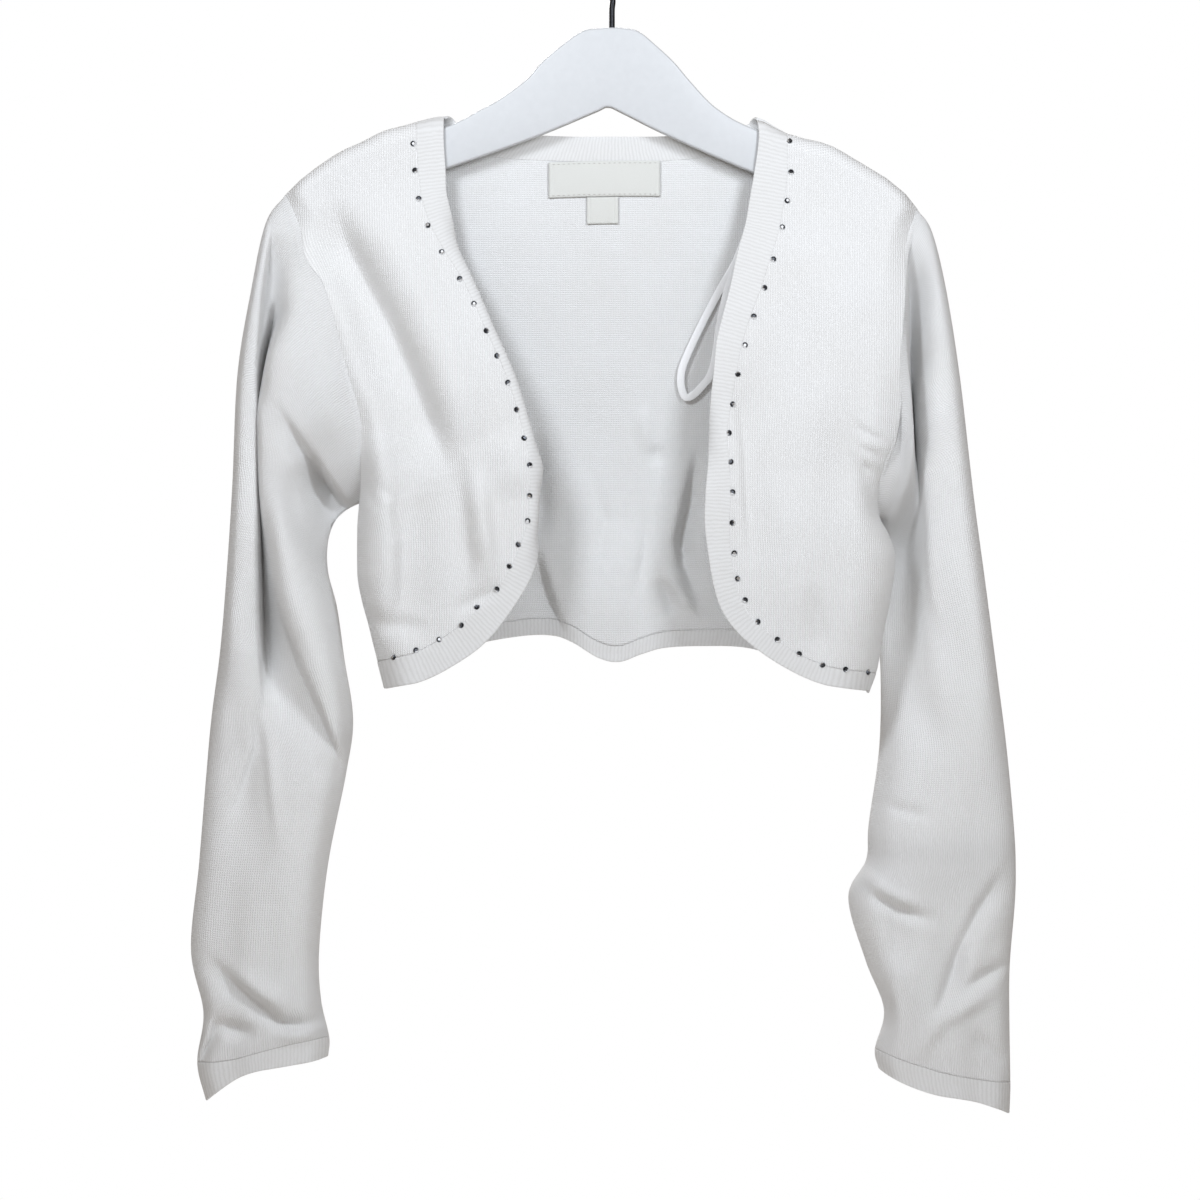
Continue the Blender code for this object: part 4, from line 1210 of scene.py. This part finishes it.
LABEL_CENTRE = (-4.2, -146)
LABEL_SIZE = (62.5, 20)
LABEL_TILT = 1.0
LABEL_FOLD = 2.0
LABEL_FOLD_RISE = 0.35
LABEL_LIFT = 1.6
LABEL_THICK = 0.6
LABEL_BOW = 0.4
LABEL_BULGE = 0.25
LABEL_STEPS = (48, 20)
# A stitch: length, width and height, distance from stitch to stitch, from the label's edge
# and off its face
STITCH = (1.9, 0.42, 0.22)
STITCH_PITCH = 2.9
STITCH_IN = 1.3
STITCH_OFF = 0.1
# Its form, a low ridge with pointed ends, as along, across and out
STITCH_FORM = [(-1, 0, 0), (0, 1, 0), (1, 0, 0), (0, -1, 0), (-0.4, 0, 1), (0.4, 0, 1)]
STITCH_FACES = [(0, 1, 4), (1, 5, 4), (1, 2, 5), (2, 3, 5), (3, 4, 5), (3, 0, 4), (0, 3, 1),
                (3, 2, 1)]
TAB_CENTRE = (-5.2, -163.4)
TAB_SIZE = (17.6, 15)
LOOP = [(90, -150), (81, -172), (72, -188), (60, -209), (50, -228), (42, -245), (39, -254),
        (39, -262), (41.5, -268), (45.5, -266.8), (50.5, -262), (55, -256), (58, -246),
        (61, -225), (67, -200), (75, -178), (84, -151)]
LOOP_LIFT = [(1.3,), (2.4,), (3.4,), (3.8,), (2.6,), (1.3,)]
LOOP_WIDTH = 4.2
LOOP_THICK = 0.35
LOOP_BULGE = 0.25
LOOP_MARKS = (-0.5, -0.47, -0.4, -0.2, 0, 0.2, 0.4, 0.47, 0.5)


def on_back(name, node, centre, size, thickness, lift, bow):
    """A flat woven piece laid on the inside of the back, slightly bowed."""
    columns, rows = LABEL_STEPS
    tilt = LABEL_TILT * size[0] / LABEL_SIZE[0]
    grid = []
    for j in range(rows + 1):
        row = []
        for i in range(columns + 1):
            u = i / columns
            v = j / rows
            x = centre[0] + size[0] * (u - 0.5)
            z = centre[1] + size[1] * (0.5 - v) + tilt * (u - 0.5)
            z += bow * math.sin(math.pi * u)
            px, py, pz = back_point(x, z)
            rise = LABEL_BULGE * math.sin(math.pi * u) * math.sin(math.pi * v)
            if min(u, 1 - u) * size[0] < LABEL_FOLD:
                rise += LABEL_FOLD_RISE
            row.append((px, py - lift - rise, pz))
        grid.append(row)
    piece = shell(name, grid, thickness, WOVEN,
                  thin_edges=("start", "end", "top", "bottom"))
    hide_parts(node)
    return piece


def label_stitches():
    """Short raised threads that sew the label down along its top and bottom edges."""
    points = []
    faces = []
    count = int((LABEL_SIZE[0] - 2 * STITCH_IN) / STITCH_PITCH)
    for edge in (1, -1):
        for i in range(count + 1):
            u = (i + 0.5) / (count + 1)
            x = LABEL_CENTRE[0] + (LABEL_SIZE[0] - 2 * STITCH_IN) * (u - 0.5)
            z = LABEL_CENTRE[1] + edge * (LABEL_SIZE[1] / 2 - STITCH_IN)
            z += LABEL_TILT * (u - 0.5) + LABEL_BOW * math.sin(math.pi * u)
            px, py, pz = back_point(x, z)
            py -= LABEL_LIFT + LABEL_THICK / 2 + STITCH_OFF
            base = len(points)
            for along, across, out in STITCH_FORM:
                points.append((px + along * STITCH[0] / 2, py - out * STITCH[2],
                               pz + across * STITCH[1] / 2))
            for face in STITCH_FACES:
                faces.append(tuple(base + k for k in face))
    return mesh_piece("label_stitches", points, faces, THREAD)


def ribbon_loop():
    line = Line(LOOP)
    steps = 160
    grid = []
    for i in range(steps + 1):
        s = i / steps
        x, z = line.at(s)
        along_x, along_z = direction(line, s, LOOP_NEAR)
        lift = spline(LOOP_LIFT, s * (len(LOOP_LIFT) - 1))[0]
        row = []
        for m in LOOP_MARKS:
            aside = m * LOOP_WIDTH
            px, py, pz = back_point(x - along_z * aside, z + along_x * aside)
            row.append((px, py - lift - LOOP_BULGE * math.cos(math.pi * m), pz))
        grid.append(row)
    piece = shell("ribbon_loop", grid, LOOP_THICK, SATIN,
                  thin_edges=("start", "end"))
    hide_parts("hanging_loop")
    return piece


fronts = {side: front_panel(side) for side in ("left", "right")}
bands = {side: front_band(side) for side in ("left", "right")}
arms = {side: sleeve(side) for side in ("left", "right")}
gems = {side: stones(side) for side in ("left", "right")}
back = back_panel()
neck_rib = back_band("neck_rib", "band_neck_back", BACK_NECK, NECK_SEAM, 0, 0.995, 10,
                     240, ("top",), ("bottom",))
hem_rib = back_band("hem_rib", "hem_band_back", hem_line(HEM_BAND), hem_line(0), 0.005, 1, 8,
                    320, ("bottom",), ("top",))
label = on_back("neck_label_woven", "neck_label", LABEL_CENTRE, LABEL_SIZE, LABEL_THICK,
                LABEL_LIFT, LABEL_BOW)
tab = on_back("size_tab_woven", "size_tab", TAB_CENTRE, TAB_SIZE, LABEL_THICK, LABEL_LIFT, 0)
stitches = label_stitches()
loop = ribbon_loop()

# Hanger: the board with rounded edges, and the wire hook

BOARD_TOP = [(-160, -144), (-151, -137.5), (-140, -132), (-128, -126.5), (-117, -123),
             (-105, -120.5), (-92, -117), (-83, -113), (-74, -108), (-63, -102), (-48, -91),
             (-40, -82), (-31, -74), (-17, -64), (-6, -62), (0, -61.8), (6, -62), (15, -64),
             (26, -73), (35, -81.5), (43, -91), (55, -104), (66, -112), (76, -117),
             (88, -122), (97, -126), (107, -130), (122, -135), (138, -143.5), (149, -151)]
BOARD_LOW = [(153, -157), (153, -164), (147, -168), (120, -158), (77, -142), (31, -122),
             (6, -109.6), (-2.3, -106.2), (-10, -109.3), (-43, -123), (-88, -139), (-130, -153),
             (-156, -162), (-163, -158), (-164, -150)]
BOARD_HALF = 6.0
BOARD_ROUND = 1.3
BOARD_TURNS = 5
WIRE_RADIUS = 1.6
WIRE_SIDES = 24
# The hook's stem as x and z, inside radius of its bend, and where the bend starts and how
# far it turns in degrees
STEM = [(0, -61.7), (0, -52), (0, -44)]
HOOK_RADIUS = 17.5
BEND_FROM = 250
BEND_TURN = 270
BEND_STEPS = 26
TIP_STEPS = 5
TIP_RADIUS = 0.02
LINE_STEPS = 6


def ring_faces(rings, count):
    """The faces between rings of points that follow each other in a list."""
    faces = []
    for ring in range(rings - 1):
        for i in range(count):
            a = ring * count + i
            b = ring * count + (i + 1) % count
            faces.append((a, a + count, b + count, b))
    return faces


def board():
    """The board: a smooth outline, quarter-round edges and flat faces."""
    outline = BOARD_TOP + BOARD_LOW
    closed_line = [outline[-1]] + outline + outline[:2]
    line = []
    for i in range(1, len(closed_line) - 2):
        for k in range(LINE_STEPS):
            line.append(spline(closed_line, i + k / LINE_STEPS))
    count = len(line)
    sides = []
    for i in range(count):
        before = line[i - 1]
        after = line[(i + 1) % count]
        along_x, along_z = unit((after[0] - before[0], after[1] - before[1]))
        sides.append((along_z, -along_x))
    profile = []
    for face in (-1, 1):
        for k in range(BOARD_TURNS + 1):
            part = k / BOARD_TURNS
            angle = math.pi / 2 * (part if face < 0 else 1 - part)
            profile.append((BOARD_ROUND * (1 - math.sin(angle)),
                            face * (BOARD_HALF - BOARD_ROUND + BOARD_ROUND * math.cos(angle))))
    points = []
    for inset, y in profile:
        for (x, z), (out_x, out_z) in zip(line, sides):
            points.append((x + out_x * inset, y, z + out_z * inset))
    last = (len(profile) - 1) * count
    faces = [tuple(range(count)), tuple(range(last + count - 1, last - 1, -1))]
    faces += ring_faces(len(profile), count)
    piece = mesh_piece("board", points, faces, BOARD)
    piece.data.set_sharp_from_angle(angle=math.radians(35))
    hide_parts("hanger_board")
    return piece


def hook():
    """The hook: a round wire up from the board, bent over, with a rounded tip."""
    middle = WIRE_RADIUS + HOOK_RADIUS
    bend = []
    for i in range(BEND_STEPS + 1):
        angle = math.radians(BEND_FROM - BEND_TURN * i / BEND_STEPS)
        bend.append((middle * math.cos(angle), middle * math.sin(angle) - HOOK_RADIUS))
    route = STEM + bend
    steps = LINE_STEPS * (len(route) - 1)
    line = [spline(route, i / LINE_STEPS) for i in range(steps + 1)]
    radii = [WIRE_RADIUS] * len(line)
    end = line[-1]
    before = line[-2]
    tip = unit((end[0] - before[0], end[1] - before[1]))
    for k in range(1, TIP_STEPS + 1):
        angle = math.pi / 2 * k / TIP_STEPS
        reach = WIRE_RADIUS * math.sin(angle)
        line.append((end[0] + tip[0] * reach, end[1] + tip[1] * reach))
        radii.append(max(WIRE_RADIUS * math.cos(angle), TIP_RADIUS))
    points = []
    for i, (x, z) in enumerate(line):
        first = line[max(i - 1, 0)]
        last = line[min(i + 1, len(line) - 1)]
        along_x, along_z = unit((last[0] - first[0], last[1] - first[1]))
        for k in range(WIRE_SIDES):
            turn = 2 * math.pi * k / WIRE_SIDES
            out = radii[i] * math.cos(turn)
            points.append((x - along_z * out, radii[i] * math.sin(turn), z + along_x * out))
    top = len(points) - 1
    faces = [tuple(range(WIRE_SIDES)), tuple(range(top, top - WIRE_SIDES, -1))]
    faces += ring_faces(len(line), WIRE_SIDES)
    piece = mesh_piece("hook", points, faces, WIRE)
    piece.data.set_sharp_from_angle(angle=math.radians(50))
    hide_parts("hanger_hook")
    return piece


board_piece = board()
hook()

# Camera, lights and floor

CAMERA_AWAY = 4.0
FRAME_WIDE = 0.672
CENTRE = Vector((-0.0067, 0, -0.382))
SENSOR = 36
COOL = (0.92, 0.98, 1.06)
WARM = (1.0, 0.88, 0.76)
AROUND = 0.25
# Square lamps: place, target, size, power in watts, colour
LAMPS = {
    "key_right": ((0.38, -0.74, 0.09), (0.04, 0, -0.26), 0.2, 4.15, COOL),
    "key_left": ((-0.37, -0.74, 0.17), (0, 0, -0.22), 0.2, 4.15, COOL),
    "fill": ((0, -1.7, 0.2), (0, 0, -0.3), 1.0, 3.2, COOL),
    "rear": ((-0.3, 2.0, 0.6), (0, 0, -0.35), 1.0, 42, (1, 1, 1)),
}
FLOOR = -0.95
WIDE = 0.8

scene = bpy.context.scene
camera_data = bpy.data.cameras.new("camera")
camera = bpy.data.objects.new("camera", camera_data)
scene.collection.objects.link(camera)
camera.location = CENTRE + Vector((0, -CAMERA_AWAY, 0))
camera.rotation_euler = (math.pi / 2, 0, 0)
camera_data.sensor_width = SENSOR
camera_data.lens = SENSOR * CAMERA_AWAY / FRAME_WIDE
scene.camera = camera


def area_light(name, place, target, size, power, colour):
    data = bpy.data.lights.new(name, "AREA")
    data.shape = "SQUARE"
    data.size = size
    data.energy = power
    data.color = colour
    made = bpy.data.objects.new(name, data)
    scene.collection.objects.link(made)
    made.location = place
    made.rotation_euler = (Vector(target) - Vector(place)).to_track_quat("-Z", "Y").to_euler()


for lamp_name, lamp in LAMPS.items():
    area_light(lamp_name, *lamp)

world = bpy.data.worlds.new("studio")
world.use_nodes = True
tree = world.node_tree
around = tree.nodes["Background"]
around.inputs["Color"].default_value = (*WARM, 1.0)
around.inputs["Strength"].default_value = AROUND
white = tree.nodes.new("ShaderNodeBackground")
white.inputs["Strength"].default_value = 1.0
white.inputs["Color"].default_value = (1, 1, 1, 1)
seen = tree.nodes.new("ShaderNodeLightPath")
choice = tree.nodes.new("ShaderNodeMixShader")
tree.links.new(seen.outputs["Is Camera Ray"], choice.inputs[0])
tree.links.new(around.outputs[0], choice.inputs[1])
tree.links.new(white.outputs[0], choice.inputs[2])
tree.links.new(choice.outputs[0], tree.nodes["World Output"].inputs["Surface"])
scene.world = world

floor_mesh = bpy.data.meshes.new("floor")
floor_mesh.from_pydata([(-WIDE, -WIDE, FLOOR), (WIDE, -WIDE, FLOOR), (WIDE, WIDE, FLOOR),
                        (-WIDE, WIDE, FLOOR)], [], [(0, 1, 2, 3)])
floor = bpy.data.objects.new("floor", floor_mesh)
scene.collection.objects.link(floor)
floor_mesh.materials.append(shader_of("pale_floor", {"Roughness": 0.9}, (0.93, 0.93, 0.93))[0])

scene.view_settings.view_transform = "Standard"
scene.view_settings.look = "None"
